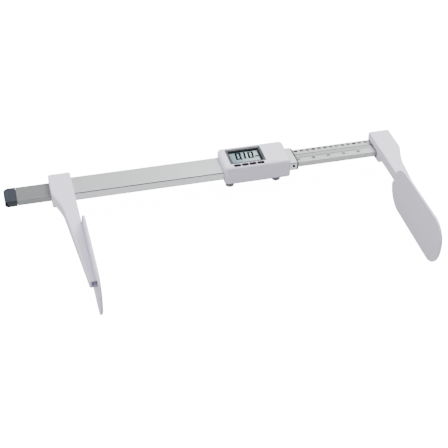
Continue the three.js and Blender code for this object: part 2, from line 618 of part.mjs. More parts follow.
function lowerContact() {
  const { halfLower, thick } = CONTACT;
  const [x0, x1] = [TRAY.x - halfLower, TRAY.x + halfLower];
  return box(x0, x1, TRAY.front - 2, CELL.y, CONTACT_LOW, CONTACT_LOW + thick);
}

// A bent strip: a foot on the board, and a blade that stands up behind the tray.
function endContact() {
  const { halfEnd, thick, height, reach } = CONTACT;
  const [x0, x1] = [TRAY.x - halfEnd, TRAY.x + halfEnd];
  const face = TRAY.front - 3;
  const foot = box(x0, x1, face - reach, face, CONTACT_LOW, CONTACT_LOW + thick);
  return join(foot, box(x0, x1, face - thick, face, CONTACT_LOW, CONTACT_LOW + height));
}

// ---- assembly ----
const measuringRod = new THREE.Group();
const sides = [-1, 1];

measuringRod.add(
  part('outer_rail', 'railMetal', outerRail()),
  part('end_bushing', 'darkPlastic', railBushing(OUTER_RAIL.right, 1)),
  part('guide_bushing', 'darkPlastic', railBushing(OUTER_RAIL.left, -1)),
  part('drag_spring', 'brightSteel', dragSpring()),
  part('fixed_arm', 'whitePlastic', fixedArm()),
  part('fixed_blade', 'whitePlastic', blade(FIXED_FACE_X, -1)),
  part('top_shell', 'whitePlastic', topShell()),
  part('bottom_cover', 'greyPlastic', bottomCover()),
  part('display_bezel', 'bezelPlastic', displayBezel()),
  part('lcd_panel', 'displayGlass', displayPanel()),
  part('main_board', 'board', mainBoard()),
  part('reader_head', 'chip', readerHead()),
  part('key_mat', 'silicone', keyMat()),
  part('battery_tray', 'whitePlastic', batteryTray()),
  part('coin_cell', 'brightSteel', coinCell()),
  part('cell_contact_lower', 'brightSteel', lowerContact()),
  part('cell_contact_end', 'brightSteel', endContact()),
);
sides.forEach((side, i) => measuringRod.add(
  part(`bushing_screw_${i + 1}`, 'blackSteel', bushingScrew(side)),
  part(`lcd_connector_${i + 1}`, 'silicone', displayConnector(side)),
  part(`fixed_arm_screw_${i + 1}`, 'brightSteel', armScrew(FIXED_ARM_X, -1, side)),
  part(`fixed_blade_screw_${i + 1}`, 'brightSteel', bladeScrew(FIXED_ARM_X, -1, BLADE_SCREWS[i])),
));
FOOT.xs.forEach((x, column) => sides.forEach((side, row) => measuringRod.add(
  part(`foot_${2 * column + row + 1}`, 'footRubber', foot(x, side)),
)));
HOUSING_SCREW.xs.forEach((x, column) => sides.forEach((side, row) => measuringRod.add(
  part(`housing_screw_${2 * column + row + 1}`, 'brightSteel', housingScrew(x, side)),
)));
for (let i = 0; i < BUTTON.count; i += 1) {
  measuringRod.add(part(`button_${i + 1}`, 'buttonRubber', keyButton(i)));
}

const slider = new THREE.Group();
slider.add(
  part('inner_rail', 'railMetal', innerRail()),
  part('encoder_tape', 'tape', encoderTape()),
  part('rail_end_cap', 'darkPlastic', railEndCap()),
  part('sliding_arm', 'whitePlastic', slidingArm()),
  part('sliding_blade', 'whitePlastic', blade(SLIDING_FACE_X, 1)),
);
sides.forEach((side, i) => slider.add(
  part(`sliding_arm_screw_${i + 1}`, 'brightSteel', armScrew(SLIDING_ARM_X, 1, side)),
  part(`sliding_blade_screw_${i + 1}`, 'brightSteel', bladeScrew(SLIDING_ARM_X, 1, BLADE_SCREWS[i])),
));
measuringRod.add(slider);

const bounds = new THREE.Box3().setFromObject(measuringRod);
const middle = bounds.getCenter(new THREE.Vector3());
measuringRod.position.set(-middle.x, -middle.y, -bounds.min.z);
measuringRod.updateMatrixWorld(true);

export default measuringRod;
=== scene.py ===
import math

import bmesh
import bpy
from mathutils import Matrix, Vector


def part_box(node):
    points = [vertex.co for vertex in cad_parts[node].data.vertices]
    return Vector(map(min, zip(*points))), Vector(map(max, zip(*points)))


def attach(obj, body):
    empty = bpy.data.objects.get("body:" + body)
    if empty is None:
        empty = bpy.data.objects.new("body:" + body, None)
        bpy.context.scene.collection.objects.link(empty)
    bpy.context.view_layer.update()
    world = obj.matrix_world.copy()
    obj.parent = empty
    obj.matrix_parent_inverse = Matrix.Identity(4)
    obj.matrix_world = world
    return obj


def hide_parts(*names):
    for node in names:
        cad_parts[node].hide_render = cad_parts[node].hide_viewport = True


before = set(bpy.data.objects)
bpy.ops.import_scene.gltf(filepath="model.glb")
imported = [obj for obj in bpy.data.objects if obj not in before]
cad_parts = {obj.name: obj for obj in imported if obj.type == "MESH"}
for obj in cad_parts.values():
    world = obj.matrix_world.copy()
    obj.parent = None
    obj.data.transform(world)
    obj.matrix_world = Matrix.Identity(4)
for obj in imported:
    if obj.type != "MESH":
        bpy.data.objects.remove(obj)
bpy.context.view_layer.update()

# Looks for a digital length measuring rod: two aluminium rails, two white arms with paddles, and a display
# housing. Pieces are drawn in millimetres from the rails' axis, with X = 0 at the outer rail's reading edge,
# and are put into the frame by place().
MM = 0.001

# ---- where the drawing's origin lies in the frame ----
_rail_low, _rail_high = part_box("outer_rail")
ORIGIN = Vector((
    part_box("end_bushing")[1].x,
    (_rail_low.y + _rail_high.y) / 2,
    (_rail_low.z + _rail_high.z) / 2,
))


def place(point):
    return ORIGIN + Vector(point) * MM


def numbered(stem, count):
    return [f"{stem}_{i}" for i in range(1, count + 1)]


def span(node):
    """Lowest and highest corner of a CAD node, in the drawing's millimetres."""
    low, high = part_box(node)
    return (low - ORIGIN) / MM, (high - ORIGIN) / MM


# ---- mesh tools ----
def piece(name, points, faces):
    """A mesh object from drawing points, with its normals pointing outwards."""
    mesh = bpy.data.meshes.new(name)
    mesh.from_pydata([place(p) for p in points], [], faces)
    shape = bmesh.new()
    shape.from_mesh(mesh)
    bmesh.ops.remove_doubles(shape, verts=shape.verts, dist=2e-7)
    bmesh.ops.recalc_face_normals(shape, faces=shape.faces)
    shape.to_mesh(mesh)
    shape.free()
    obj = bpy.data.objects.new(name, mesh)
    bpy.context.scene.collection.objects.link(obj)
    return obj


def loft(name, rings, closed=False):
    """Skins equal rings of points one after another and caps both ends, or joins them in a loop."""
    size = len(rings[0])
    points = [p for ring in rings for p in ring]
    faces = []
    turns = len(rings) if closed else len(rings) - 1
    for i in range(turns):
        a = i * size
        b = ((i + 1) % len(rings)) * size
        faces += [(a + j, a + (j + 1) % size, b + (j + 1) % size, b + j) for j in range(size)]
    if not closed:
        faces += [tuple(range(size)), tuple(range((len(rings) - 1) * size, len(rings) * size))]
    return piece(name, points, faces)


def arc(centre, radius, start, end, steps):
    """Points on an arc in a plane; radius may be a pair for an ellipse, and angles are in degrees."""
    rx, ry = radius if isinstance(radius, tuple) else (radius, radius)
    angles = [math.radians(start + (end - start) * i / steps) for i in range(steps + 1)]
    return [(centre[0] + rx * math.cos(a), centre[1] + ry * math.sin(a)) for a in angles]


def rounded_rect(a0, a1, b0, b1, radii, steps=5):
    """A rectangle with round corners, anticlockwise from the low b side; radii is one or four."""
    r = radii if isinstance(radii, tuple) else (radii,) * 4
    centres = [(a1 - r[0], b0 + r[0]), (a1 - r[1], b1 - r[1]), (a0 + r[2], b1 - r[2]), (a0 + r[3], b0 + r[3])]
    outline = []
    for turn, (centre, radius) in enumerate(zip(centres, r)):
        outline += arc(centre, radius, 90 * turn - 90, 90 * turn, steps)
    return outline


def plan_round(low, high, out, radii, steps):
    """A box's outline in plan with round corners, moved outwards by out."""
    return rounded_rect(low[0] - out, high[0] + out, low[1] - out, high[1] + out, radii, steps)


def end_round(low, high, out, radii, steps):
    """A box's outline seen along X with round corners, moved outwards by out."""
    return rounded_rect(low[1] - out, high[1] + out, low[2] - out, high[2] + out, radii, steps)


def rounded_path(corners, steps=4):
    """A closed outline through (a, b, radius) corners, each rounded by its own radius."""
    outline = []
    for i, (a, b, radius) in enumerate(corners):
        here = Vector((a, b))
        before = (Vector(corners[i - 1][:2]) - here).normalized()
        after = (Vector(corners[(i + 1) % len(corners)][:2]) - here).normalized()
        if radius == 0:
            outline.append((a, b))
            continue
        half = before.angle(after) / 2
        tangent = radius / math.tan(half)
        for step in range(steps + 1):
            t = step / steps
            p = here + before * tangent * (1 - t) ** 2 + after * tangent * t ** 2
            outline.append((p.x, p.y))
    return outline


def along_x(name, section, x0, x1, edge=0.0, steps=3):
    """A (y, z) section drawn along X, with its end edges rounded by edge."""
    rings = []
    for x, inset in end_profile(x0, x1, edge, steps):
        rings.append([(x, y, z) for y, z in shrink(section, inset)])
    return loft(name, rings)


def along_z(name, section, z0, z1, edge=0.0, steps=3):
    """An (x, y) section drawn along Z, with its end edges rounded by edge."""
    rings = []
    for z, inset in end_profile(z0, z1, edge, steps):
        rings.append([(x, y, z) for x, y in shrink(section, inset)])
    return loft(name, rings)


def end_profile(low, high, edge, steps):
    """(place, inset) pairs from one end to the other: a quarter circle at each end."""
    if edge == 0:
        return [(low, 0.0), (high, 0.0)]
    start = []
    for i in range(steps + 1):
        angle = math.pi / 2 * i / steps
        start.append((low + edge * (1 - math.sin(angle)), edge * (1 - math.cos(angle))))
    start.reverse()
    return start + [(low + high - p, inset) for p, inset in reversed(start)]


def shrink(section, inset):
    """The outline moved inwards by inset, along its normals."""
    if inset == 0:
        return list(section)
    count = len(section)
    area = sum(section[i - 1][0] * section[i][1] - section[i][0] * section[i - 1][1] for i in range(count))
    turn = 1 if area > 0 else -1
    moved = []
    for i in range(count):
        here = Vector(section[i])
        into = here - Vector(section[i - 1])
        out = Vector(section[(i + 1) % count]) - here
        into = into.normalized() if into.length > 1e-9 else out.normalized()
        out = out.normalized() if out.length > 1e-9 else into
        normal = Vector((-(into.y + out.y), into.x + out.x)) * turn
        length = normal.length
        scale = min(2 / length, 1.6) / length if length > 1e-6 else 0
        moved.append(tuple(here + normal * inset * scale))
    return moved


def box_piece(name, low, high):
    section = [(low[1], low[2]), (high[1], low[2]), (high[1], high[2]), (low[1], high[2])]
    return along_x(name, section, low[0], high[0])


def drill(name, radius, low, high, centre, axis="Z", sides=24):
    """A plain round cutter between two places on an axis."""
    return turned(name, [(0, low), (radius, low), (radius, high), (0, high)], centre, axis, sides)


def turned(name, profile, centre, axis="Z", sides=48):
    """A turned piece: profile is (radius, height) pairs that start and end on the axis."""
    rings = []
    for radius, height in profile:
        ring = []
        for i in range(sides):
            a = 2 * math.pi * i / sides
            across = (radius * math.cos(a), radius * math.sin(a))
            local = (height, *across) if axis == "X" else (*across, height)
            ring.append(tuple(c + v for c, v in zip(centre, local)))
        rings.append(ring)
    return loft(name, rings)


def settle(obj):
    """Applies an object's modifiers to its mesh."""
    bpy.context.view_layer.update()
    graph = bpy.context.evaluated_depsgraph_get()
    mesh = bpy.data.meshes.new_from_object(obj.evaluated_get(graph))
    old = obj.data
    obj.modifiers.clear()
    obj.data = mesh
    bpy.data.meshes.remove(old)
    return obj


def carve(obj, *cutters, operation="DIFFERENCE"):
    for cutter in cutters:
        step = obj.modifiers.new("carve", "BOOLEAN")
        step.operation = operation
        step.solver = "EXACT"
        step.object = cutter
        settle(obj)
        bpy.data.objects.remove(cutter)
    return obj


def shade(obj, angle=32):
    """Smooth shading that keeps flat faces flat and edges sharper than angle crisp."""
    for polygon in obj.data.polygons:
        polygon.use_smooth = True
    obj.data.set_sharp_from_angle(angle=math.radians(angle))
    weigh = obj.modifiers.new("flat faces", "WEIGHTED_NORMAL")
    weigh.keep_sharp = True
    weigh.weight = 60
    return settle(obj)


def finish_piece(obj, body, finish, slot, *replaced, angle=32):
    shade(obj, angle)
    obj.data.materials.clear()
    obj.data.materials.append(finish)
    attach(obj, body)
    if replaced:
        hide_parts(*replaced)
    return obj


# ---- shader tools ----
class Value:
    """A shader socket that can be used in an expression."""

    def __init__(self, kit, socket):
        self.kit = kit
        self.socket = socket

    def _with(self, operation, first, second):
        node = self.kit.node("ShaderNodeMath", {"operation": operation}, {0: first, 1: second})
        return Value(self.kit, node.outputs[0])

    def __add__(self, other):
        return self._with("ADD", self, other)

    def __radd__(self, other):
        return self._with("ADD", other, self)

    def __sub__(self, other):
        return self._with("SUBTRACT", self, other)

    def __rsub__(self, other):
        return self._with("SUBTRACT", other, self)

    def __mul__(self, other):
        return self._with("MULTIPLY", self, other)

    def __rmul__(self, other):
        return self._with("MULTIPLY", other, self)

    def __gt__(self, other):
        return self._with("GREATER_THAN", self, other)

    def __mod__(self, other):
        return self._with("FLOORED_MODULO", self, other)


class Finish:
    """One material's nodes, feeding a Principled shader."""

    def __init__(self, name, **constants):
        self.material = bpy.data.materials.new(name)
        self.material.use_nodes = True
        self.tree = self.material.node_tree
        self.shader = self.tree.nodes["Principled BSDF"]
        for socket, value in constants.items():
            self.shader.inputs[socket.replace("_", " ")].default_value = value

    def node(self, kind, settings=None, sockets=None):
        made = self.tree.nodes.new(kind)
        for key, value in (settings or {}).items():
            if key == "stops":
                ramp = made.color_ramp.elements
                while len(ramp) < len(value):
                    ramp.new(0.5)
                for element, (position, colour) in zip(ramp, value):
                    element.position = position
                    element.color = (*colour, 1)
            else:
                setattr(made, key, value)
        for key, value in (sockets or {}).items():
            if isinstance(value, Value):
                self.tree.links.new(value.socket, made.inputs[key])
            else:
                made.inputs[key].default_value = value
        return made

    def out(self, node, socket=0):
        return Value(self, node.outputs[socket])

    def feed(self, socket, value):
        self.tree.links.new(value.socket, self.shader.inputs[socket])

    def position(self, scale=(1, 1, 1)):
        where = self.out(self.node("ShaderNodeTexCoord"), "Object")
        if scale == (1, 1, 1):
            return where
        return self.out(self.node("ShaderNodeMapping", None, {"Vector": where, "Scale": scale}))

    def axis(self, name):
        split = self.node("ShaderNodeSeparateXYZ", None, {0: self.position()})
        return self.out(split, name)

    def noise(self, scale, detail=3.0, roughness=0.5, stretch=(1, 1, 1)):
        node = self.node("ShaderNodeTexNoise", None, {
            "Vector": self.position(stretch), "Scale": scale, "Detail": detail, "Roughness": roughness})
        return self.out(node, 0)

    def blend(self, factor, first, second):
        node = self.node("ShaderNodeMix", {"data_type": "RGBA", "clamp_factor": True}, {"Factor": factor})
        for index, colour in ((6, first), (7, second)):
            if isinstance(colour, Value):
                self.tree.links.new(colour.socket, node.inputs[index])
            else:
                node.inputs[index].default_value = (*colour, 1)
        return Value(self, node.outputs[2])

    def bump(self, height, strength, distance):
        node = self.node("ShaderNodeBump", None, {
            "Height": height, "Strength": strength, "Distance": distance})
        self.feed("Normal", self.out(node))
        return self


def moulded(name, light, dark, roughness=0.46):
    """Injection-moulded plastic: spark-eroded grain, a soft sheen and faint flow marks."""
    grain, grain_size = 0.1, 0.35
    kit = Finish(name, Specular_IOR_Level=0.42)
    flow = kit.noise(9, 2)
    specks = kit.noise(1000 / grain_size, 2, 0.6)
    kit.feed("Base Color", kit.blend(flow * 0.7 + specks * 0.3, dark, light))
    kit.feed("Roughness", roughness - 0.05 + flow * 0.06 + specks * 0.06)
    return kit.bump(specks, grain, 0.00008).material


def brushed(name, light, dark, roughness=0.34, dull=None):
    """Anodised aluminium brushed along X: long fine streaks in tone, gloss and height. The pair dull is an X
    in metres, to the left of which the tone is darker, and the share of the tone kept there."""
    kit = Finish(name, Metallic=METAL_SHARE)
    streaks = kit.noise(1.0, 3, 0.65, (6, 2600, 2600))
    broad = kit.noise(1.0, 2, 0.5, (2.5, 240, 240))
    cloud = kit.noise(14, 2)
    tone = kit.blend(streaks * 0.55 + broad * 0.3 + cloud * 0.15, dark, light)
    if dull:
        end, kept = dull
        tone = kit.blend(kit.axis("X") > end, kit.blend(kept + cloud * 0.02, (0, 0, 0), tone), tone)
    kit.feed("Base Color", tone)
    kit.feed("Roughness", roughness + streaks * 0.14 + cloud * 0.05)
    return kit.bump(streaks, 0.12, 0.00003).material


def rubber(name, light, dark):
    kit = Finish(name, Specular_IOR_Level=0.15)
    dust = kit.noise(420, 4, 0.7)
    kit.feed("Base Color", kit.blend(dust, dark, light))
    kit.feed("Roughness", 0.68 + dust * 0.22)
    return kit.bump(dust, 0.3, 0.00012).material


def steel(name, light, dark, roughness):
    kit = Finish(name, Metallic=1.0)
    marks = kit.noise(1800, 3, 0.6)
    patches = kit.noise(260, 2)
    kit.feed("Base Color", kit.blend(marks * 0.5 + patches * 0.5, dark, light))
    kit.feed("Roughness", roughness + marks * 0.15)
    return kit.bump(marks, 0.08, 0.00004).material


def liquid_crystal(name):
    """Reflective display panel: pale grey-green under clear glass, with painted shade that makes it cooler
    and darker towards the left.
    """
    kit = Finish(name, Roughness=0.32, Coat_Weight=0.6, Coat_Roughness=0.04)
    low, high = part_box("lcd_panel")
    across = (kit.axis("X") - low.x) * (1 / (high.x - low.x))
    haze = kit.noise(90, 2)
    # painted shade: the colour ramps from dark blue-grey at the panel's left edge to pale grey-green at its
    # right
    stops = [(0.0, (0.10, 0.16, 0.20)), (0.25, (0.17, 0.26, 0.29)),
             (0.6, (0.36, 0.48, 0.50)), (1.0, (0.40, 0.50, 0.51))]
    tone = kit.node("ShaderNodeValToRGB", {"stops": stops}, {0: across + haze * 0.12 - 0.06})
    kit.feed("Base Color", kit.out(tone))
    return kit.material


def ink(name, colour, spread):
    kit = Finish(name, Specular_IOR_Level=0.02)
    wear = kit.noise(900, 3)
    worn = tuple(min(1, c * 1.6 + 0.004) for c in colour)
    kit.feed("Base Color", kit.blend(wear * spread, colour, worn))
    kit.feed("Roughness", 0.7 + wear * 0.15)
    return kit.material


def measuring_strip(name):
    """Laminated encoder strip: pale foil with very fine bars across it, under a clear film; its long edges
    are darkened as painted shadow from the recess walls.
    """
    kit = Finish(name, Metallic=0.55, Coat_Weight=0.7, Coat_Roughness=0.08)
    bars = (kit.axis("X") % 0.00127) > 0.00064
    sheen = kit.noise(1.0, 2, 0.5, (30, 900, 900))
    low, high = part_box("encoder_tape")
    off = kit.axis("Y") - (low.y + high.y) / 2
    # painted shadow: a near-black band 0.9 mm wide along each long edge, standing for the recess walls' shade
    border = off * off > ((high.y - low.y) / 2 - 0.0009) ** 2
    foil = kit.blend(bars * 0.55 + sheen * 0.3, (0.44, 0.45, 0.45), (0.28, 0.29, 0.29))
    kit.feed("Base Color", kit.blend(border, foil, (0.03, 0.03, 0.03)))
    kit.feed("Roughness", 0.24 + sheen * 0.12)
    return kit.material


def board_green(name):
    kit = Finish(name, Coat_Weight=0.3, Coat_Roughness=0.2)
    run = (kit.axis("X") % 0.0021) > 0.0013
    cross = (kit.axis("Y") % 0.0034) > 0.0026
    weave = kit.noise(700, 2)
    pattern = run * 0.4 + cross * 0.3 + weave * 0.3
    kit.feed("Base Color", kit.blend(pattern, (0.010, 0.075, 0.035), (0.03, 0.17, 0.08)))
    kit.feed("Roughness", 0.35 + weave * 0.15)
    return kit.material


METAL_SHARE = 0.85                                    # the rest is the pale oxide layer's diffuse look
WHITE = moulded("white ABS", (0.80, 0.762, 0.875), (0.75, 0.712, 0.825))
SLATE = moulded("slate plastic", (0.015, 0.022, 0.034), (0.009, 0.013, 0.021), 0.42)
BLACK_RING = moulded("dark acetal", (0.030, 0.034, 0.036), (0.016, 0.018, 0.020), 0.4)
GREY_BEZEL = moulded("grey bezel", (0.036, 0.043, 0.054), (0.027, 0.032, 0.042), 0.4)
# painted shade: the cover's grey darkens the housing's lower edge, where shade falls
COVER_SHADE_GREY = moulded("cover plastic, painted shade grey", (0.30, 0.295, 0.33), (0.26, 0.255, 0.29), 0.5)
# near-black for the display's gasket, also used as painted shade in the rail's grooves and round the glass
GASKET_AND_SHADE_BLACK = rubber("display gasket and painted shade", (0.006, 0.007, 0.009), (0.003, 0.003, 0.004))
KEY_BLACK = rubber("key plastic", (0.007, 0.006, 0.009), (0.004, 0.003, 0.006))
FOOT_RUBBER = rubber("foot rubber", (0.21, 0.21, 0.22), (0.15, 0.15, 0.16))
SILICONE = rubber("silicone", (0.46, 0.45, 0.42), (0.38, 0.37, 0.35))
OUTER_METAL = brushed("brushed outer rail", (0.63, 0.65, 0.65), (0.49, 0.51, 0.51))
INNER_METAL = brushed("brushed inner rail", (0.45, 0.46, 0.46), (0.31, 0.32, 0.32), 0.36,
                      dull=(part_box("fixed_arm")[0].x + 0.01, 0.58))
BRIGHT_STEEL = steel("plated steel", (0.62, 0.62, 0.60), (0.45, 0.45, 0.44), 0.22)
BLACK_STEEL = steel("blackened steel", (0.004, 0.004, 0.005), (0.002, 0.002, 0.002), 0.5)
PANEL = liquid_crystal("liquid crystal panel")
SEGMENT_INK = ink("dark segments", (0.0015, 0.002, 0.0025), 0.02)
GHOST_INK = ink("unlit segments", (0.20, 0.28, 0.30), 0.1)
SCALE_INK = ink("scale ink", (0.002, 0.002, 0.002), 0.02)
STRIP = measuring_strip("measuring strip")
BOARD = board_green("circuit board")
CHIP = moulded("chip plastic", (0.030, 0.030, 0.034), (0.018, 0.018, 0.020), 0.45)
GOLD = steel("gold contact", (0.86, 0.62, 0.24), (0.70, 0.48, 0.16), 0.25)


# ---- rails ----
GROOVE = {"land": 0.6, "width": 1.4, "deep": 0.95}
RAIL_WALL = 1.6


def rail_section(half_y, half_z, corner):
    """Outer rail: rounded corners, and a groove along each side just under the top."""
    top_corner, lip = 0.4, 0.12
    high = half_z - GROOVE["land"]
    low = high - GROOVE["width"]
    base = half_y - GROOVE["deep"]
    near = [(half_y, low, lip), (base, low, 0), (base, high, 0), (half_y, high, lip)]
    far = [(-y, z, r) for y, z, r in reversed(near)]
    return rounded_path([(half_y, -half_z, corner), *near, (half_y, half_z, top_corner),
                         (-half_y, half_z, top_corner), *far, (-half_y, -half_z, corner)])


def rail_bore(low, high, roof):
    """The cutter that hollows a rail, up to a roof height."""
    section = rounded_rect(low.y + RAIL_WALL, high.y - RAIL_WALL, low.z + RAIL_WALL, roof, 0.5, 2)
    return along_x("bore", section, low.x - 5, high.x + 5)


def make_outer_rail():
    low, high = span("outer_rail")
    rail = along_x("outer_rail_tube", rail_section(high.y, high.z, 2.0), low.x, high.x, 0.15, 1)
    bore = rail_bore(low, high, high.z - RAIL_WALL)
    reader_low, reader_high = span("reader_head")
    window = box_piece("window", (reader_low.x - 2, reader_low.y - 2, 0),
                       (reader_high.x + 2, reader_high.y + 2, high.z + 4))
    carve(rail, bore, window)
    finish_piece(rail, "rod_base", OUTER_METAL, "anodised_rail", "outer_rail", angle=24)


def make_groove_strips():
    """A dark strip lies in each side groove of the outer rail, almost flush: painted shade standing in for
    the groove's shadow.
    """
    low, high = span("outer_rail")
    play, sunk, end = 0.05, 0.12, 0.4
    top = high.z - GROOVE["land"] - play
    bottom = top + 2 * play - GROOVE["width"]
    for side, name in ((-1, "near_groove_strip"), (1, "far_groove_strip")):
        y0, y1 = sorted((side * (high.y - GROOVE["deep"] + play), side * (high.y - sunk)))
        strip = along_x(name, rounded_rect(y0, y1, bottom, top, 0.15, 2), low.x + end, high.x - end)
        # painted shade: the near-black strip darkens the groove as its shadow would
        finish_piece(strip, "rod_base", GASKET_AND_SHADE_BLACK, "anodised_rail")


def make_inner_rail():
    """The sliding rail: a plain tube, with a recess in its top from the strip's left end to its right end."""
    low, high = span("inner_rail")
    tape_low, tape_high = span("encoder_tape")
    depth, play = 0.7, 0.2
    section = end_round(low, high, 0, (1.8, 0.7, 0.7, 1.8), 4)
    rail = along_x("inner_rail_tube", section, low.x, high.x, 0.15, 1)
    recess = box_piece("recess", (tape_low.x - play, tape_low.y - play, high.z - depth),
                       (high.x + 1, tape_high.y + play, high.z + 1))
    carve(rail, rail_bore(low, high, high.z - RAIL_WALL - depth), recess)
    finish_piece(rail, "slider", INNER_METAL, "anodised_rail", "inner_rail", angle=24)


def make_strip():
    low, high = span("encoder_tape")
    section = end_round(low, high, 0, 0.08, 1)
    strip = along_x("measuring_strip", section, low.x, high.x)
    finish_piece(strip, "slider", STRIP, "encoder_tape", "encoder_tape")


def make_end_cap():
    """A slate nose with rounded free corners, cut square at the rail; its plug stays inside the rail."""
    low, high = span("rail_end_cap")
    rail_low, _ = span("inner_rail")
    nose = rail_low.x - 0.2
    longer, proud, spare = 2.0, 0.5, 6.0
    outline = rounded_rect(low.x - longer, nose + spare, low.y - proud, high.y + proud,
                           (2.5, 2.5, 9.0, 6.0), 8)
    cap = along_z("rail_end_cap_nose", outline, low.z - proud, high.z + proud, 1.6, 5)
    beyond = box_piece("squared_end", (nose, low.y - 9, low.z - 9),
                       (nose + spare * 2, high.y + 9, high.z + 9))
    carve(cap, beyond)
    gap = RAIL_WALL + 0.3
    plug = box_piece("plug", (nose - 3, low.y + gap, low.z + gap), (high.x, high.y - gap, high.z - gap - 0.7))
    carve(cap, plug, operation="UNION")
    finish_piece(cap, "slider", SLATE, "dark_plastic", "rail_end_cap")


def make_bushing(name, node, body):
    """A rail bushing: a flange that follows the rail's outline, and a thin sleeve inside the rail."""
    low, high = span(node)
    outer_low, outer_high = span("outer_rail")
    inner_low, inner_high = span("inner_rail")
    right = high.x > outer_high.x
    flange = (outer_high.x + 0.2, high.x) if right else (low.x, outer_low.x - 0.2)
    ring = along_x(name, end_round(low, high, 0, 1.6, 4), *flange, 0.35, 2)
    fit, run = RAIL_WALL + 0.2, 0.2
    plug = end_round(outer_low, outer_high, -fit, 0.4, 2)
    carve(ring, along_x("sleeve", plug, low.x + 0.3, high.x - 0.3), operation="UNION")
    way = end_round(inner_low, inner_high, run, 0.9, 3)
    bore = along_x("bore", way, low.x - 1, high.x + 1)
    carve(ring, bore)
    finish_piece(ring, body, BLACK_RING, "dark_plastic", node)


# ---- the printed scale ----
def socket_named(tree, name):
    """The identifier of a node group's input."""
    return next(item.identifier for item in tree.interface.items_tree if item.name == name)


def grow(name, tree, **inputs):
    """Runs a Geometry Nodes tree with these named inputs and keeps the result as a plain mesh."""
    obj = bpy.data.objects.new(name, bpy.data.meshes.new(name))
    bpy.context.scene.collection.objects.link(obj)
    step = obj.modifiers.new("grow", "NODES")
    step.node_group = tree
    for key, value in inputs.items():
        step[socket_named(tree, key.replace("_", " "))] = value
    return settle(obj)


class Growth:
    """A Geometry Nodes tree with named inputs."""

    def __init__(self, name, inputs):
        self.tree = bpy.data.node_groups.new(name, "GeometryNodeTree")
        for label, kind in inputs:
            self.tree.interface.new_socket(label, in_out="INPUT", socket_type=kind)
        self.tree.interface.new_socket("Geometry", in_out="OUTPUT", socket_type="NodeSocketGeometry")
        self.inputs = self.tree.nodes.new("NodeGroupInput")
        self.output = self.tree.nodes.new("NodeGroupOutput")

    def given(self, label):
        return self.inputs.outputs[label]

    def node(self, kind, settings=None, sockets=None):
        made = self.tree.nodes.new(kind)
        for key, value in (settings or {}).items():
            setattr(made, key, value)
        for key, value in (sockets or {}).items():
            if isinstance(value, bpy.types.NodeSocket):
                self.tree.links.new(value, made.inputs[key])
            else:
                made.inputs[key].default_value = value
        return made

    def maths(self, operation, first, second):
        return self.node("ShaderNodeMath", {"operation": operation}, {0: first, 1: second}).outputs[0]

    def vector(self, x=0.0, y=0.0, z=0.0):
        return self.node("ShaderNodeCombineXYZ", None, {"X": x, "Y": y, "Z": z}).outputs[0]

    def end(self, geometry):
        """Makes instances real, gives them the material, and closes the tree."""
        real = self.node("GeometryNodeRealizeInstances", None, {0: geometry})
        dressed = self.node("GeometryNodeSetMaterial", None, {
            "Geometry": real.outputs[0], "Material": self.given("Material")})
        self.tree.links.new(dressed.outputs[0], self.output.inputs[0])
        return self.tree


def tick_tree():
    """A row of scale ticks: short ones, with a middle and a long one every so many."""
    g = Growth("tick row", [
        ("Count", "NodeSocketInt"), ("Start", "NodeSocketVector"), ("Pitch", "NodeSocketFloat"),
        ("Short", "NodeSocketFloat"), ("Middle", "NodeSocketFloat"), ("Long", "NodeSocketFloat"),
        ("Middle Every", "NodeSocketInt"), ("Long Every", "NodeSocketInt"), ("Side", "NodeSocketFloat"),
        ("Width", "NodeSocketFloat"), ("Height", "NodeSocketFloat"), ("Material", "NodeSocketMaterial")])
    step = g.vector(x=g.given("Pitch"))
    row = g.node("GeometryNodeMeshLine", None, {
        "Count": g.given("Count"), "Start Location": g.given("Start"), "Offset": step})
    index = g.node("GeometryNodeInputIndex").outputs[0]

    def every(label):
        rest = g.maths("FLOORED_MODULO", index, g.given(label))
        return g.maths("LESS_THAN", rest, 0.5)

    def step_up(label, longer, shorter):
        return g.maths("MULTIPLY", every(label), g.maths("SUBTRACT", g.given(longer), g.given(shorter)))

    added = g.maths("ADD", step_up("Middle Every", "Middle", "Short"),
                    step_up("Long Every", "Long", "Middle"))
    length = g.maths("ADD", g.given("Short"), added)
    half = g.maths("MULTIPLY", g.maths("MULTIPLY", length, 0.5), g.given("Side"))
    moved = g.node("GeometryNodeSetPosition", None, {
        "Geometry": row.outputs[0], "Offset": g.vector(y=half)})
    bar = g.node("GeometryNodeMeshCube", None, {"Size": (1.0, 1.0, 1.0)})
    placed = g.node("GeometryNodeInstanceOnPoints", None, {
        "Points": moved.outputs[0], "Instance": bar.outputs[0],
        "Scale": g.vector(g.given("Width"), length, g.given("Height"))})
    return g.end(placed.outputs[0])


PRINT_HEIGHT = 0.04                                   # thickness of the print, in millimetres
DIGIT_HEIGHT = 4.4
INCH_TICKS_Y = -4.7
INCH_NUMERALS_Y = -10.6


def numeral(text, x, y, z, height):
    """One printed number as a thin solid, centred on x and y."""
    curve = bpy.data.curves.new("numeral", "FONT")
    curve.body = text
    curve.size = height * 1.38 * MM
    curve.align_x = "CENTER"
    curve.align_y = "CENTER"
    curve.extrude = PRINT_HEIGHT / 2 * MM
    curve.offset = height * 0.085 * MM
    curve.resolution_u = 3
    obj = bpy.data.objects.new("numeral", curve)
    bpy.context.scene.collection.objects.link(obj)
    obj.matrix_world = Matrix.Translation(place((x, y, z)))
    bpy.context.view_layer.update()
    mesh = bpy.data.meshes.new_from_object(obj.evaluated_get(bpy.context.evaluated_depsgraph_get()))
    mesh.transform(obj.matrix_world)
    bpy.data.objects.remove(obj)
    return mesh


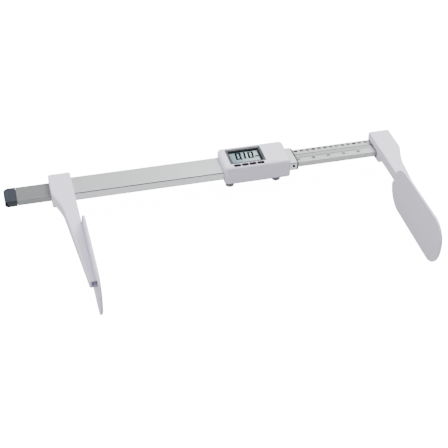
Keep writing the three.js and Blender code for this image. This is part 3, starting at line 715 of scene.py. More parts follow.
def join_meshes(name, meshes):
    shape = bmesh.new()
    for mesh in meshes:
        shape.from_mesh(mesh)
        bpy.data.meshes.remove(mesh)
    bmesh.ops.remove_doubles(shape, verts=shape.verts, dist=1e-7)
    bmesh.ops.recalc_face_normals(shape, faces=shape.faces)
    joined = bpy.data.meshes.new(name)
    shape.to_mesh(joined)
    shape.free()
    obj = bpy.data.objects.new(name, joined)
    bpy.context.scene.collection.objects.link(obj)
    return obj


CM_RANGE = (36, 80)
INCH_RANGE = (15, 31)
INCH = 25.4
SIXTEENTHS = 16


def make_scale():
    """Centimetres along the far edge and inches on the near side, read at the outer rail's edge."""
    high = span("inner_rail")[1]
    gap = span("sliding_blade")[0].x - span("fixed_blade")[1].x    # the length read at rest
    top = high.z + PRINT_HEIGHT / 2
    rows = {
        "centimetre_ticks": {
            "Count": (CM_RANGE[1] - CM_RANGE[0]) * 10 + 1,
            "Start": (gap - 10 * CM_RANGE[1], high.y - 0.9, top),
            "Pitch": 1.0, "Short": 1.5, "Middle": 2.2, "Long": 3.0, "Middle_Every": 5, "Long_Every": 10,
            "Width": 0.42},
        "inch_ticks": {
            "Count": (INCH_RANGE[1] - INCH_RANGE[0]) * SIXTEENTHS + 1,
            "Start": (gap - INCH * INCH_RANGE[1], INCH_TICKS_Y, top), "Pitch": INCH / SIXTEENTHS,
            "Short": 2.2, "Middle": 2.9, "Long": 3.8, "Middle_Every": 4, "Long_Every": SIXTEENTHS,
            "Width": 0.55},
    }
    ticks = tick_tree()
    for name, row in rows.items():
        inputs = {key: value * MM if isinstance(value, float) else value for key, value in row.items()}
        inputs["Start"] = place(row["Start"])
        made = grow(name, ticks, Side=-1.0, Height=PRINT_HEIGHT * MM, Material=SCALE_INK, **inputs)
        finish_piece(made, "slider", SCALE_INK, "anodised_rail")
    lines = ((CM_RANGE, 10, high.y - 6.0), (INCH_RANGE, INCH, INCH_NUMERALS_Y))
    numbers = [numeral(str(value), gap - unit * value, y, top, DIGIT_HEIGHT)
               for (first, last), unit, y in lines for value in range(first, last + 1)]
    finish_piece(join_meshes("scale_numerals", numbers), "slider", SCALE_INK, "anodised_rail")


# ---- arms and paddles ----
BLOCK = {"depth": 34.5, "front": -26.0, "bottom": -10.0, "neck": -76.0, "waist": 22.0, "under": 0.5,
         "slope": -100.0, "tip_top": 12.5, "tip_width": 8.4}


def curve_at(points, wanted):
    """Where a cubic curve in the plane reaches wanted in its first coordinate: its second coordinate."""
    best, steps = None, 40
    for i in range(steps + 1):
        t = i / steps
        weights = ((1 - t) ** 3, 3 * t * (1 - t) ** 2, 3 * t ** 2 * (1 - t), t ** 3)
        a = sum(w * p[0] for w, p in zip(weights, points))
        b = sum(w * p[1] for w, p in zip(weights, points))
        if best and (best[0] - wanted) * (a - wanted) <= 0 and a != best[0]:
            share = (wanted - best[0]) / (a - best[0])
            return best[1] + (b - best[1]) * share
        best = (a, b)
    return best[1]


def arm_width(y, tip):
    """How far the arm reaches out from its face: a full block, a shoulder, then a straight taper."""
    depth, front, neck, waist = (BLOCK[key] for key in ("depth", "front", "neck", "waist"))
    if y >= front:
        return depth
    if y >= neck:
        return curve_at([(front, depth), (front - 14, depth - 1), (front - 28, waist + 3), (neck, waist)], y)
    return waist + (BLOCK["tip_width"] - waist) * (y - neck) / (tip - neck)


def arm_under(y):
    """Height of the arm's underside: the block's base, a fillet, then the arm."""
    front, bottom, under = BLOCK["front"], BLOCK["bottom"], BLOCK["under"]
    fillet = 20
    if y >= front:
        return bottom
    if y >= front - fillet:
        bend = [(front, bottom), (front - 6, bottom), (front - 12, under), (front - fillet, under)]
        return curve_at(bend, y)
    return under


def arm_top(y, top, tip):
    slope = BLOCK["slope"]
    return top if y >= slope else top + (BLOCK["tip_top"] - top) * (slope - y) / (slope - tip)


def make_arm(name, node, body, side, sockets):
    """A moulded arm, skinned over cross-sections from the back of its block to its tip."""
    low, high = span(node)
    face = high.x if side < 0 else low.x
    tip = low.y
    front, neck, slope = BLOCK["front"], BLOCK["neck"], BLOCK["slope"]
    back_round, top_round, corner = 4.0, 6.0, 2.6
    rings = []
    stations = [high.y - back_round * (1 - math.sin(math.radians(a))) for a in (90, 75, 60, 45, 30, 15, 0)]
    stations += [high.y - top_round, high.y - top_round - 0.5, 10, 0, -12, front + 2, front]
    stations += [front - 2 * i for i in range(1, 26)]
    stations += [neck - 4, neck - 12, neck - 20, slope + 0.8, slope, slope - 0.8, slope - 6]
    stations += [slope - 20 - 10 * i for i in range(12)]
    stations += [tip + 1.2, tip + 0.6, tip + 0.15, tip]
    for y in stations:
        inset = 0.0
        if y > high.y - back_round:
            inset = back_round - math.sqrt(max(0, back_round ** 2 - (y - high.y + back_round) ** 2))
        if y < tip + 1.0:
            inset = 1.0 - math.sqrt(max(0, 1 - (tip + 1.0 - y) ** 2))
        roof = arm_top(y, high.z, tip)
        if y > high.y - top_round:
            roof -= top_round - math.sqrt(top_round ** 2 - (y - high.y + top_round) ** 2) - inset
        outer = arm_width(y, tip)
        r = max(0.5, min(corner, (outer - 2 * inset) / 2.4) - inset * 0.6)
        radii = (min(r, 1.4), r, min(r, 2.0), min(r, 1.0))
        ring = rounded_rect(inset, outer - inset, arm_under(y) + inset, roof - inset, radii, 5)
        rings.append([(face + side * u, y, z) for u, z in ring])
    arm = loft(name, rings)
    wall, below, start, stop = 2.6, -20, -52.0, -205.0
    pocket = []
    for y in (start, start - 8, neck, slope, stop):
        reach, ceiling = arm_width(y, tip) - wall, arm_top(y, high.z, tip) - wall
        outline = rounded_rect(wall, reach, below, ceiling, (0.1, 0.8, 0.8, 0.1), 3)
        pocket.append([(face + side * u, y, z) for u, z in outline])
    counterbore = [(0, -12), (3.4, -12), (3.1, -9.8), (3.1, -8.0), (0, -8.0)]
    holes = []
    for screw in numbered(f"{node}_screw", 2):
        screw_low, screw_high = span(screw)
        centre = ((screw_low.x + screw_high.x) / 2, (screw_low.y + screw_high.y) / 2, 0)
        holes.append(turned("hole", counterbore, centre, sides=40))
    carve(arm, loft("pocket", pocket), tip_nook(face, side, tip), *sockets, *holes)
    finish_piece(arm, body, WHITE, "white_plastic", node, angle=28)


def tip_nook(face, side, tip):
    """The recess in the arm's end, which runs on into the paddle's land."""
    dish, outer_wall, depth = 2.6, 3.0, 26.0
    x0, x1 = sorted((face - side * dish, face + side * (BLOCK["tip_width"] - outer_wall)))
    outline = rounded_rect(x0, x1, BLOCK["under"] + 0.9, BLOCK["tip_top"] - 1.1, 0.7, 3)
    return loft("nook", [[(x, y, z) for x, z in outline] for y in (tip - 1, tip + depth)])


def arm_sockets():
    """Openings for the rails: through the fixed arm's block, blind with a wide mouth in the sliding arm's."""
    outer_low, outer_high = span("outer_rail")
    inner_low, inner_high = span("inner_rail")
    fixed_low, fixed_high = span("fixed_arm")
    sliding_low, _ = span("sliding_arm")
    seat = span("guide_bushing")[0].x - 0.2
    fit = end_round(outer_low, outer_high, 0.2, 1.6, 4)
    run = end_round(inner_low, inner_high, 1.0, 1.6, 4)
    grip = end_round(inner_low, inner_high, 0.2, 1.0, 4)
    mouth = end_round(inner_low, inner_high, 2.0, 3.6, 6)
    fixed = [along_x("seat", fit, seat, fixed_high.x + 1), along_x("run", run, fixed_low.x - 1, seat + 1)]
    sliding = [along_x("grip", grip, sliding_low.x - 1, inner_high.x + 0.2),
               along_x("mouth", mouth, sliding_low.x - 1, sliding_low.x + 5)]
    return fixed, sliding


PADDLE_CORNERS = (                                    # centre and radii of four quarter ellipses, in Y and Z
    ((-246, 12), (38.5, 49)),
    ((-132, 0), (33, 34.5)),
    ((-146, 10), (40, 34)),
    ((-254, 14), (30.5, 30)),
)


def paddle_outline(inset=0.0):
    """Two straight edges joined by four quarter ellipses."""
    outline = []
    for turn, (centre, radii) in enumerate(PADDLE_CORNERS):
        start = 180 + 90 * turn
        outline += arc(centre, (radii[0] - inset, radii[1] - inset), start, start + 90, 18)
    return outline[:-1]


def paddle_dish(back, side, tip, top):
    """The shallow pan behind a paddle, leaving a land for the arm to sit on."""
    rim, dish = 2.4, 2.4
    x0, x1 = sorted((back - side * dish, back + side * 2))
    pan = along_x("pan", paddle_outline(rim), x0, x1)
    under, over, end = BLOCK["under"], BLOCK["tip_top"], -90
    land = [(tip, under), (tip, over), (BLOCK["slope"], top), (end, top), (end, under)]
    return carve(pan, along_x("land", land, x0 - 1, x1 + 1))


def make_paddle(name, node, arm, body, side):
    low, high = span(node)
    arm_low, arm_high = span(arm)
    paddle = along_x(name, paddle_outline(), low.x, high.x, 0.9, 4)
    back = high.x if side > 0 else low.x
    dish = paddle_dish(back, side, arm_low.y, arm_high.z)
    carve(paddle, dish, tip_nook(back + side * 0.2, side, arm_low.y))
    radius = 1.45
    for hole in numbered(f"{node}_screw", 2):
        hole_low, hole_high = span(hole)
        centre = (0, (hole_low.y + hole_high.y) / 2, (hole_low.z + hole_high.z) / 2)
        inner = (hole_low.x, high.x + 1) if hole_high.x > high.x and low.x > 0 else (low.x - 1, hole_high.x)
        carve(paddle, drill("hole", radius, *inner, centre, "X"))
    finish_piece(paddle, body, WHITE, "white_plastic", node, angle=40)


# ---- display housing ----
SHELL_CORNER = 6.5
CEILING = 16.8                                        # underside of the shell's roof
PLAY = 0.25                                           # gap round the keys and the drawer's door


def make_housing():
    low, high = span("top_shell")
    wall, plan, top_edge = 2.2, SHELL_CORNER, 5.0
    rings = []
    profile = [(low.z, 0.7), (low.z + 0.25, 0.25), (low.z + 0.8, 0.0), (high.z - top_edge, 0.0)]
    for a in (10, 20, 30, 40, 50, 60, 70, 80, 86, 90):
        turn = math.radians(a)
        profile.append((high.z - top_edge + top_edge * math.sin(turn), top_edge * (1 - math.cos(turn))))
    for z, inset in profile:
        corner = max(1.8, plan - inset * 0.8)
        outline = plan_round(low, high, -inset, corner, 8)
        rings.append([(x, y, z) for x, y in outline])
    shell = loft("housing_top_shell", rings)
    cavity = plan_round(low, high, -wall, plan - wall, 6)
    hollow = along_z("hollow", cavity, low.z - 8, high.z - wall, 1.0, 2)
    rail_low, rail_high = span("outer_rail")
    gap = 0.35
    near, far, roof = rail_low.y - gap, rail_high.y + gap, rail_high.z + gap
    saddle = rounded_path([(near, -40, 0), (far, -40, 0), (far, roof, 1.4), (near, roof, 1.4)])
    notch = along_x("notch", saddle, low.x - 1, high.x + 1)
    bezel_low, bezel_high = display_opening()
    window = flared("window", bezel_low.x, bezel_high.x, bezel_low.y, bezel_high.y, 2.0, high.z, 0.45)
    keyways = []
    for i in range(1, 5):
        key_low, key_high = key_top(i)
        keyways.append(flared("keyway", key_low[0] - PLAY, key_high[0] + PLAY,
                              key_low[1] - PLAY, key_high[1] + PLAY, 2.1, high.z, 0.3))
    door_low, door_high = span("battery_tray")
    door = box_piece("doorway", (door_low.x - PLAY, high.y - wall - 1, door_low.z - PLAY),
                     (door_high.x + PLAY, high.y + 1, door_high.z + PLAY))
    carve(shell, hollow, notch, window, *keyways, door)
    finish_piece(shell, "rod_base", WHITE, "white_plastic", "top_shell", angle=28)


def flared(name, x0, x1, y0, y1, corner, top, flare):
    """A cutter for an opening in a top face, whose last part widens to break the edge."""
    steps = ((top - 8, 0.0), (top - flare, 0.0), (top - flare * 0.3, flare * 0.3), (top, flare),
             (top + 1, flare + 1))
    rings = []
    for z, out in steps:
        outline = rounded_rect(x0 - out, x1 + out, y0 - out, y1 + out, corner + out, 6)
        rings.append([(x, y, z) for x, y in outline])
    return loft(name, rings)


def display_opening():
    """The opening in the shell's top: the bezel's upstanding frame, less its hidden flange."""
    low, high = span("display_bezel")
    return Vector((low.x + 2, low.y + 1, low.z)), Vector((high.x - 2, high.y - 2, high.z))


def key_top(index):
    """Lowest and highest corner of a key's cap, inside its flange."""
    low, high = span(f"button_{index}")
    lip = 0.4
    return (low.x + lip, low.y + lip, low.z), (high.x - lip, high.y - lip, high.z)


def make_bezel():
    """Grey frame just under the shell's surface, sloping a little towards the glass."""
    low, high = display_opening()
    node_low, node_high = span("display_bezel")
    _, panel_high = span("lcd_panel")
    border = 4.0
    gap, edge = 0.15, 0.3
    x0, x1, y0, y1 = low.x + gap, high.x - gap, low.y + gap, high.y - gap
    inner = (low.x + border, high.x - border, low.y + border, high.y - border)
    top = node_high.z
    slope = 0.45
    rings = [
        rounded_rect(*inner, 0.5, 6), rounded_rect(*inner, 0.5, 6),
        rounded_rect(inner[0] - edge, inner[1] + edge, inner[2] - edge, inner[3] + edge, 0.8, 6),
        rounded_rect(x0 + edge, x1 - edge, y0 + edge, y1 - edge, 1.6, 6),
        rounded_rect(x0, x1, y0, y1, 1.9, 6), rounded_rect(x0, x1, y0, y1, 1.9, 6),
        plan_round(node_low, node_high, 0, 1.0, 6),
        plan_round(node_low, node_high, 0, 1.0, 6),
    ]
    roof = CEILING - 0.25
    heights = [node_low.z, top - slope - edge, top - slope, top, top - edge, roof, roof, node_low.z]
    rings = [[(x, y, z) for x, y in ring] for ring, z in zip(rings, heights)]
    finish_piece(loft("display_bezel_frame", rings, closed=True), "rod_base", GREY_BEZEL, "bezel_plastic",
                 "display_bezel", angle=28)
    # The dark ring round the glass is a gasket 0.6 mm wide at the left and front; at the right (2.4) and back
    # (3.0) it is widened as painted shadow from the recess's edge.
    gasket, rim_and_shadow_widths, play = [], (0.6, 2.4, 0.6, 3.0), 0.05
    lip_z, seat_z = top - slope - 0.5, panel_high.z + 0.1
    for share, z in ((0, seat_z), (0, lip_z), (1, lip_z), (1, seat_z)):
        left, right, front, back = (play + share * width for width in rim_and_shadow_widths)
        outline = rounded_rect(inner[0] + left, inner[1] - right, inner[2] + front, inner[3] - back, 0.6, 4)
        gasket.append([(x, y, z) for x, y in outline])
    finish_piece(loft("display_gasket", gasket, closed=True), "rod_base", GASKET_AND_SHADE_BLACK, "bezel_plastic")


SEGMENTS = {"0": "abcdef", "1": "bc", "8": "abcdefg"}


def segment_bars(cell_x, cell_y, width, height, thick, letters):
    """(x, y) outlines of a seven-segment figure's bars: clipped corners and a slight slant to the right."""
    half_w, half_h = (width - thick) / 2, (height - thick) / 2
    ends = {
        "a": ((-half_w, half_h), (half_w, half_h)), "b": ((half_w, 0), (half_w, half_h)),
        "c": ((half_w, -half_h), (half_w, 0)), "d": ((-half_w, -half_h), (half_w, -half_h)),
        "e": ((-half_w, -half_h), (-half_w, 0)), "f": ((-half_w, 0), (-half_w, half_h)),
        "g": ((-half_w, 0), (half_w, 0)),
    }
    slant, gap, clip = 0.09, 0.15, 0.5
    bars = []
    for letter in letters:
        start, end = Vector(ends[letter][0]), Vector(ends[letter][1])
        run = (end - start).normalized()
        across = Vector((-run.y, run.x)) * thick / 2
        reach = -(thick / 2 + gap) if letter in "adg" else -gap / 2
        low = start - run * (reach if letter not in "ce" else thick / 2)
        high = end + run * (reach if letter not in "bf" else thick / 2)
        side = across * (1 - 2 * clip / thick)
        corners = [low - side, low + run * clip - across, high - run * clip - across, high - side,
                   high + side, high - run * clip + across, low + run * clip + across, low + side]
        bars.append([(cell_x + c.x + c.y * slant, cell_y + c.y) for c in corners])
    return bars


def thin_solid(name, outlines, z, height):
    """One mesh of thin flat solids from (x, y) outlines."""
    points, faces = [], []
    for outline in outlines:
        base, size = len(points), len(outline)
        points += [(x, y, z) for x, y in outline] + [(x, y, z + height) for x, y in outline]
        faces += [tuple(range(base, base + size)), tuple(range(base + size, base + 2 * size))]
        for i in range(size):
            j = (i + 1) % size
            faces.append((base + i, base + j, base + size + j, base + size + i))
    return piece(name, points, faces)


def make_display():
    """The panel with a reading, the faint unlit segments round it, and a unit mark."""
    low, high = span("lcd_panel")
    outline = plan_round(low, high, 0, 0.5, 3)
    panel = along_z("display_panel", outline, low.z, high.z, 0.15, 1)
    finish_piece(panel, "rod_base", PANEL, "display_glass", "lcd_panel")
    middle_y = 5.4
    width, height, thick = 9.4, 18.6, 3.1
    first, pitch, one_shift = -103.2, 10.2, 2.6
    lit = {1: "0", 2: "1", 3: "0"}
    dark, faint = [], []
    for cell in range(4):
        x = first + cell * pitch - (one_shift if lit.get(cell) == "1" else 0)
        on = SEGMENTS.get(lit.get(cell, ""), "")
        dark += segment_bars(x, middle_y, width, height, thick, on)
        faint += segment_bars(x, middle_y, width, height, thick, [s for s in SEGMENTS["8"] if s not in on])
    for cell, group in ((1, dark), (2, faint)):
        x = first + (cell + 0.5) * pitch - 1.6
        y = middle_y - height / 2
        group.append(rounded_rect(x - 1.0, x + 1.0, y - 1.6, y + 0.6, 0.5, 2))
    printed = high.z + 0.02
    for name, bars, height, finish in (("display_segments", dark, 0.05, SEGMENT_INK),
                                       ("display_unlit_segments", faint, 0.03, GHOST_INK)):
        finish_piece(thin_solid(name, bars, printed, height), "rod_base", finish, "display_glass")
    unit_x, unit_y, unit_height = -63.2, 0.6, 4.8
    unit = numeral("cm", unit_x, unit_y, printed + 0.02, unit_height)
    finish_piece(join_meshes("display_unit", [unit]), "rod_base", SEGMENT_INK, "display_glass")


def make_keys():
    """Each key is a rounded cap on a flange that the shell's roof holds in, with a stem to its switch."""
    flange_top = CEILING - 0.2
    flange = flange_top - 1.3
    half = 1.4
    for i in range(1, 5):
        low, high = key_top(i)
        node_low, node_high = span(f"button_{i}")
        head = plan_round(low, high, 0, 2.0, 7)
        cap = along_z(f"key_{i}_cap", head, flange, high[2], 0.55, 4)
        rim = plan_round(node_low, node_high, 0, 1.0, 3)
        base = along_z("flange", rim, flange, flange_top)
        x, y = (low[0] + high[0]) / 2, (low[1] + high[1]) / 2
        stem = box_piece("stem", (x - half, y - half, node_low.z), (x + half, y + half, flange + 0.5))
        carve(cap, base, stem, operation="UNION")
        finish_piece(cap, f"key_{i}", KEY_BLACK, "button_plastic", f"button_{i}")


def make_cover():
    """Bottom cover: a lip under the shell's walls, a plate inside them, and a tongue under the rail."""
    low, high = span("bottom_cover")
    shell_low, shell_high = span("top_shell")
    inset, corner = 2.4, SHELL_CORNER
    lip_top, plate_top = shell_low.z - 0.2, shell_low.z + 1.9
    outline = plan_round(shell_low, shell_high, 0, corner, 8)
    lip = along_z("housing_bottom_cover", shrink(outline, 0.15), low.z, lip_top, 0.3, 2)
    inside = plan_round(shell_low, shell_high, -inset, corner - inset, 6)
    plate = along_z("plate", inside, low.z + 0.4, plate_top)
    rail_low, rail_high = span("outer_rail")
    tongue = box_piece("tongue", (shell_low.x + 0.1, rail_low.y - 0.1, low.z + 0.4),
                       (shell_high.x - 0.1, rail_high.y + 0.1, high.z))
    carve(lip, plate, tongue, operation="UNION")
    counterbore = [(0, -1), (2.9, -1), (2.5, 0.3), (2.5, 1.5), (1.4, 1.5), (1.4, 4), (0, 4)]
    profile = [(radius, low.z + height) for radius, height in counterbore]
    holes = []
    for screw in numbered("housing_screw", 4):
        screw_low, screw_high = span(screw)
        centre = ((screw_low.x + screw_high.x) / 2, (screw_low.y + screw_high.y) / 2, 0)
        holes.append(turned("hole", profile, centre, sides=32))
    carve(lip, *holes)
    # the grey lip along the housing's bottom edge is painted shade
    finish_piece(lip, "rod_base", COVER_SHADE_GREY, "grey_plastic", "bottom_cover", angle=28)


def make_drawer():
    """The battery drawer: a tray with a round seat, and a door."""
    low, high = span("battery_tray")
    cell_low, cell_high = span("coin_cell")
    centre = ((cell_low.x + cell_high.x) / 2, (cell_low.y + cell_high.y) / 2, 0)
    floor, wall, half = 1.1, 4.4, 11.5
    tray_top = cell_low.z - floor + wall
    outline = rounded_rect(centre[0] - half, centre[0] + half, low.y, high.y - 1, 0.8, 3)
    tray = along_z("battery_drawer", outline, low.z, tray_top, 0.2, 1)
    door_section = rounded_rect(low.x, high.x, low.z, high.z, 1.2, 5)
    rings = []
    for y, inset in end_profile(high.y - 1.8, high.y, 0.35, 2):
        rings.append([(x, y, z) for x, z in shrink(door_section, inset)])
    carve(tray, loft("door", rings), operation="UNION")
    seat = drill("seat", 10.2, low.z + 1, high.z + 2, centre, sides=64)
    slot = box_piece("slot", (centre[0] - 4, low.y - 1, low.z - 1),
                     (centre[0] + 4, centre[1] + 3, high.z + 2))
    carve(tray, seat, slot)
    finish_piece(tray, "battery_drawer", WHITE, "white_plastic", "battery_tray", angle=28)
    bottom = ((0, 0), (8.4, 0), (8.7, 0.35), (9.4, 0.45), (9.9, 0.8), (10, 1.2))
    profile = [(radius, cell_low.z + height) for radius, height in bottom]
    profile += [(10, cell_high.z - 0.25), (9.75, cell_high.z), (0, cell_high.z)]
    cell = turned("coin_cell_can", profile, centre, sides=96)
    finish_piece(cell, "battery_drawer", BRIGHT_STEEL, "bright_steel", "coin_cell")


# ---- screws and feet ----
def repeat_tree():
    """Copies of a pattern mesh at the vertices of a layout mesh, turned to a common direction."""
    g = Growth("repeated piece", [("Layout", "NodeSocketObject"), ("Pattern", "NodeSocketObject"),
                                  ("Turn", "NodeSocketVector"), ("Material", "NodeSocketMaterial")])
    layout, pattern = (
        g.node("GeometryNodeObjectInfo", {"transform_space": "RELATIVE"}, {"Object": g.given(label)})
        for label in ("Layout", "Pattern"))
    spin = g.node("FunctionNodeEulerToRotation", None, {0: g.given("Turn")})
    placed = g.node("GeometryNodeInstanceOnPoints", None, {
        "Points": layout.outputs["Geometry"], "Instance": pattern.outputs["Geometry"],
        "Rotation": spin.outputs[0]})
    return g.end(placed.outputs[0])


def raw(name, points, faces):
    """A helper mesh in metres about its own origin, for repeating."""
    mesh = bpy.data.meshes.new(name)
    mesh.from_pydata([Vector(p) * MM for p in points], [], faces)
    obj = bpy.data.objects.new(name, mesh)
    bpy.context.scene.collection.objects.link(obj)
    return obj


# head radius, head height, shank radius, length, drive
HOUSING_SCREW = (2.2, 1.5, 1.15, 8.6, "cross")
FIXED_ARM_SCREW = (2.8, 1.8, 1.35, 2.0, "cross")
SLIDING_ARM_SCREW = (2.8, 1.8, 1.35, 4.1, "cross")
PADDLE_SCREW = (2.35, 1.6, 1.2, 5.1, "cross")
BUSHING_SCREW = (2.15, 1.1, 0.95, 2.6, "hex")


def screw_pattern(head, head_height, shank, length, drive):
    """A pan-head screw about the origin: head with its drive recess towards -Z, threaded shank towards +Z."""
    base = ORIGIN / MM
    profile = [(0, -head_height), (head * 0.55, -head_height), (head * 0.82, -head_height * 0.86),
               (head * 0.97, -head_height * 0.45), (head, -head_height * 0.2), (head, 0), (shank, 0)]
    pitch = 0.5
    for i in range(int(length / pitch)):
        z = 0.3 + i * pitch
        if z + pitch < length:
            profile += [(shank * 0.82, z), (shank, z + pitch / 2)]
    profile += [(shank * 0.8, length - 0.2), (0, length)]
    screw = turned("screw", profile, (0, 0, 0), sides=28)
    arm, half = head * 0.62, head * 0.11
    low, high = -head_height - 1, -head_height * 0.4
    if drive == "cross":
        cutters = [box_piece("drive", (-arm, -half, low), (arm, half, high)),
                   box_piece("drive", (-half, -arm, low), (half, arm, high))]
    else:
        turns = [math.radians(60 * i) for i in range(6)]
        hexagon = [(arm * 0.72 * math.cos(a), arm * 0.72 * math.sin(a)) for a in turns]
        cutters = [along_z("drive", hexagon, low, high)]
    carve(screw, *cutters)
    screw.data.transform(Matrix.Translation(-base * MM))
    return screw


def make_screws():
    repeat = repeat_tree()
    steel, black = (BRIGHT_STEEL, "bright_steel"), (BLACK_STEEL, "black_steel")
    # turns in degrees, named by where the shank points
    up, right, left, rear, front = (0, 0, 0), (0, 90, 0), (0, -90, 0), (-90, 0, 0), (90, 0, 0)
    groups = [
        ("housing_screws", "rod_base", numbered("housing_screw", 4), HOUSING_SCREW, up, steel),
        ("fixed_arm_screws", "rod_base", numbered("fixed_arm_screw", 2), FIXED_ARM_SCREW, up, steel),
        ("sliding_arm_screws", "slider", numbered("sliding_arm_screw", 2), SLIDING_ARM_SCREW, up, steel),
        ("fixed_paddle_screws", "rod_base", numbered("fixed_blade_screw", 2), PADDLE_SCREW, right, steel),
        ("sliding_paddle_screws", "slider", numbered("sliding_blade_screw", 2), PADDLE_SCREW, left, steel),
        ("front_bushing_screw", "rod_base", ["bushing_screw_1"], BUSHING_SCREW, rear, black),
        ("rear_bushing_screw", "rod_base", ["bushing_screw_2"], BUSHING_SCREW, front, black),
    ]
    for name, body, nodes, sizes, turn, (finish, slot) in groups:
        pattern = screw_pattern(*sizes)
        head_height = sizes[1]
        angles = tuple(math.radians(t) for t in turn)
        points = []
        for node in nodes:
            low, high = span(node)
            seat = {
                up: Vector(((low.x + high.x) / 2, (low.y + high.y) / 2, low.z + head_height)),
                right: Vector((low.x + head_height, (low.y + high.y) / 2, (low.z + high.z) / 2)),
                left: Vector((high.x - head_height, (low.y + high.y) / 2, (low.z + high.z) / 2)),
                rear: Vector(((low.x + high.x) / 2, low.y + head_height, (low.z + high.z) / 2)),
                front: Vector(((low.x + high.x) / 2, high.y - head_height, (low.z + high.z) / 2)),
            }[turn]
            points.append(place(seat) / MM)
        layout = raw("layout", points, [])
        screws = grow(name, repeat, Layout=layout, Pattern=pattern, Turn=angles, Material=finish)
        bpy.data.objects.remove(layout)
        bpy.data.objects.remove(pattern)
        finish_piece(screws, body, finish, slot, *nodes)


def make_feet():
    """Four moulded rubber feet: a rounded rim and a shallow dish underneath."""
    low, high = span("foot_1")
    radius, height = (high.x - low.x) / 2, high.z - low.z
    profile = [(0, 0.5), (radius * 0.55, 0.45), (radius * 0.68, 0.1),
               (radius * 0.75, 0.0), (radius * 0.86, 0.0)]
    rim = 1.0
    for a in (15, 35, 55, 75, 90):
        turn = math.radians(a)
        profile.append((radius - rim + rim * math.sin(turn), rim - rim * math.cos(turn)))
    profile += [(radius, height - 0.6), (radius - 0.25, height - 0.15), (radius - 0.6, height), (0, height)]
    pattern = turned("foot", profile, (0, 0, 0), sides=56)
    pattern.data.transform(Matrix.Translation(-ORIGIN))
    nodes = numbered("foot", 4)
    points = []
    for node in nodes:
        foot_low, foot_high = span(node)
        middle = ((foot_low.x + foot_high.x) / 2, (foot_low.y + foot_high.y) / 2, foot_low.z)
        points.append(place(middle) / MM)
    layout = raw("layout", points, [])
    feet = grow("rubber_feet", repeat_tree(), Layout=layout, Pattern=pattern, Turn=(0.0, 0.0, 0.0),
                Material=FOOT_RUBBER)
    bpy.data.objects.remove(layout)
    bpy.data.objects.remove(pattern)
    finish_piece(feet, "rod_base", FOOT_RUBBER, "foot_rubber", *nodes)


# ---- carried-over nodes ----
def dress_hidden_nodes():
    """Pieces inside the housing and rails keep their CAD shape and get their finish."""
    finishes = {
        "main_board": BOARD, "reader_head": CHIP, "key_mat": SILICONE,
        "lcd_connector_1": SILICONE, "lcd_connector_2": SILICONE,
        "cell_contact_lower": GOLD, "cell_contact_end": GOLD, "drag_spring": BRIGHT_STEEL,
    }
    for node, finish in finishes.items():
        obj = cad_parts[node]
        obj.data.materials.clear()
        obj.data.materials.append(finish)


# ---- studio ----
AZIMUTH, ELEVATION, ROLL = 14.19, 37.12, 0.29         # degrees
EYE = (-466.45, -1381.42, 966.94)                     # the camera in the drawing's millimetres
LENS = 86.67                                          # millimetres, on a 36 mm sensor
FLOOR_GLOW = 15.0                                     # the floor's own light, seen only by the camera
SKY_UP = (0.0, 0.35, 1.0)                             # the sky is brightest toward here
SKY_HEIGHTS = (-0.5, 0.35)                            # where its ramp starts and ends along that line
SKY_LEVELS = (0.08, 1.1)                              # its strength at those two heights
SKY_TINT = (0.97, 0.975, 1.0)
TABLE_GLOW = 2.6                                      # extra light low in front, as from a white table
TABLE_GLOW_TOWARD = (0.19, -0.77, -0.60)
TABLE_GLOW_EDGES = (0.84, 0.95)                       # where that light starts and is full, along that line
LIGHTS = {                                            # place, aim and size in metres, power in watts
    "key": ((0.9, 0.9, 2.0), (0.0, 0.05, 0.0), 1.2, 80),
    "front": ((0.3, -2.2, 0.7), (0.0, 0.0, 0.0), 1.2, 0.5),
    "left": ((-2.2, 0.3, 0.7), (0.0, -0.1, 0.0), 1.2, 38),
}


def make_camera():
    data = bpy.data.cameras.new("camera")
    data.lens = LENS
    data.sensor_width = 36
    camera = bpy.data.objects.new("camera", data)
    bpy.context.scene.collection.objects.link(camera)
    a, e = math.radians(AZIMUTH), math.radians(ELEVATION)
    forward = Vector((math.sin(a) * math.cos(e), math.cos(a) * math.cos(e), -math.sin(e)))
    turn = forward.to_track_quat("-Z", "Y").to_matrix().to_4x4()
    camera.matrix_world = Matrix.Translation(place(EYE)) @ turn @ Matrix.Rotation(math.radians(ROLL), 4, "Z")
    data.clip_end = 20
    bpy.context.scene.camera = camera


def area_light(name, where, aim, size, power):
    data = bpy.data.lights.new(name, "AREA")
    data.energy = power
    data.size = size
    light = bpy.data.objects.new(name, data)
    bpy.context.scene.collection.objects.link(light)
    light.location = where
    light.rotation_euler = (Vector(aim) - Vector(where)).to_track_quat("-Z", "Y").to_euler()


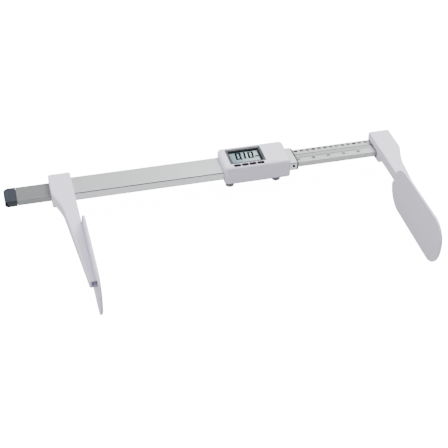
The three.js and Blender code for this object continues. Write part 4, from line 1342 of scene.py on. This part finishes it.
def make_studio():
    floor_mesh = bpy.data.meshes.new("floor")
    reach = 6.0
    corners = [(-reach, -reach, 0), (reach, -reach, 0), (reach, reach, 0), (-reach, reach, 0)]
    floor_mesh.from_pydata(corners, [], [(0, 1, 2, 3)])
    floor = bpy.data.objects.new("floor", floor_mesh)
    floor.location.z = -0.0005
    bpy.context.scene.collection.objects.link(floor)
    kit = Finish("pale floor", Roughness=0.9, Specular_IOR_Level=0.1)
    tone = kit.noise(3, 2)
    kit.feed("Base Color", kit.blend(tone, (0.90, 0.90, 0.90), (0.93, 0.93, 0.93)))
    kit.shader.inputs["Emission Color"].default_value = (1, 1, 1, 1)
    kit.shader.inputs["Emission Strength"].default_value = FLOOR_GLOW
    floor.data.materials.append(kit.material)
    floor.visible_diffuse = False
    floor.visible_glossy = False
    floor.visible_shadow = False
    make_sky()
    for name, (where, aim, size, power) in LIGHTS.items():
        area_light(name, where, aim, size, power)


def make_sky():
    """A soft white tent: bright overhead and low in front, falling to grey below and behind."""
    world = bpy.data.worlds.new("studio")
    world.use_nodes = True
    tree = world.node_tree

    def ramp(toward, start, stop, low, high):
        where = tree.nodes.new("ShaderNodeTexCoord")
        facing = tree.nodes.new("ShaderNodeVectorMath")
        facing.operation = "DOT_PRODUCT"
        facing.inputs[1].default_value = Vector(toward).normalized()
        tree.links.new(where.outputs["Generated"], facing.inputs[0])
        glow = tree.nodes.new("ShaderNodeMapRange")
        for name, value in (("From Min", start), ("From Max", stop), ("To Min", low), ("To Max", high)):
            glow.inputs[name].default_value = value
        tree.links.new(facing.outputs["Value"], glow.inputs["Value"])
        return glow.outputs[0]

    total = tree.nodes.new("ShaderNodeMath")
    total.operation = "ADD"
    tree.links.new(ramp(SKY_UP, *SKY_HEIGHTS, *SKY_LEVELS), total.inputs[0])
    tree.links.new(ramp(TABLE_GLOW_TOWARD, *TABLE_GLOW_EDGES, 0.0, TABLE_GLOW), total.inputs[1])
    background = tree.nodes["Background"]
    background.inputs["Color"].default_value = (*SKY_TINT, 1)
    tree.links.new(total.outputs[0], background.inputs["Strength"])
    bpy.context.scene.world = world


make_camera()
make_studio()
make_outer_rail()
make_groove_strips()
make_inner_rail()
make_strip()
make_end_cap()
make_bushing("end_ring", "end_bushing", "rod_base")
make_bushing("inner_guide", "guide_bushing", "rod_base")
make_scale()
fixed_sockets, sliding_sockets = arm_sockets()
make_arm("fixed_arm_moulding", "fixed_arm", "rod_base", -1, fixed_sockets)
make_arm("sliding_arm_moulding", "sliding_arm", "slider", 1, sliding_sockets)
make_paddle("fixed_paddle", "fixed_blade", "fixed_arm", "rod_base", -1)
make_paddle("sliding_paddle", "sliding_blade", "sliding_arm", "slider", 1)
make_housing()
make_bezel()
make_display()
make_keys()
make_cover()
make_drawer()
make_screws()
make_feet()
dress_hidden_nodes()
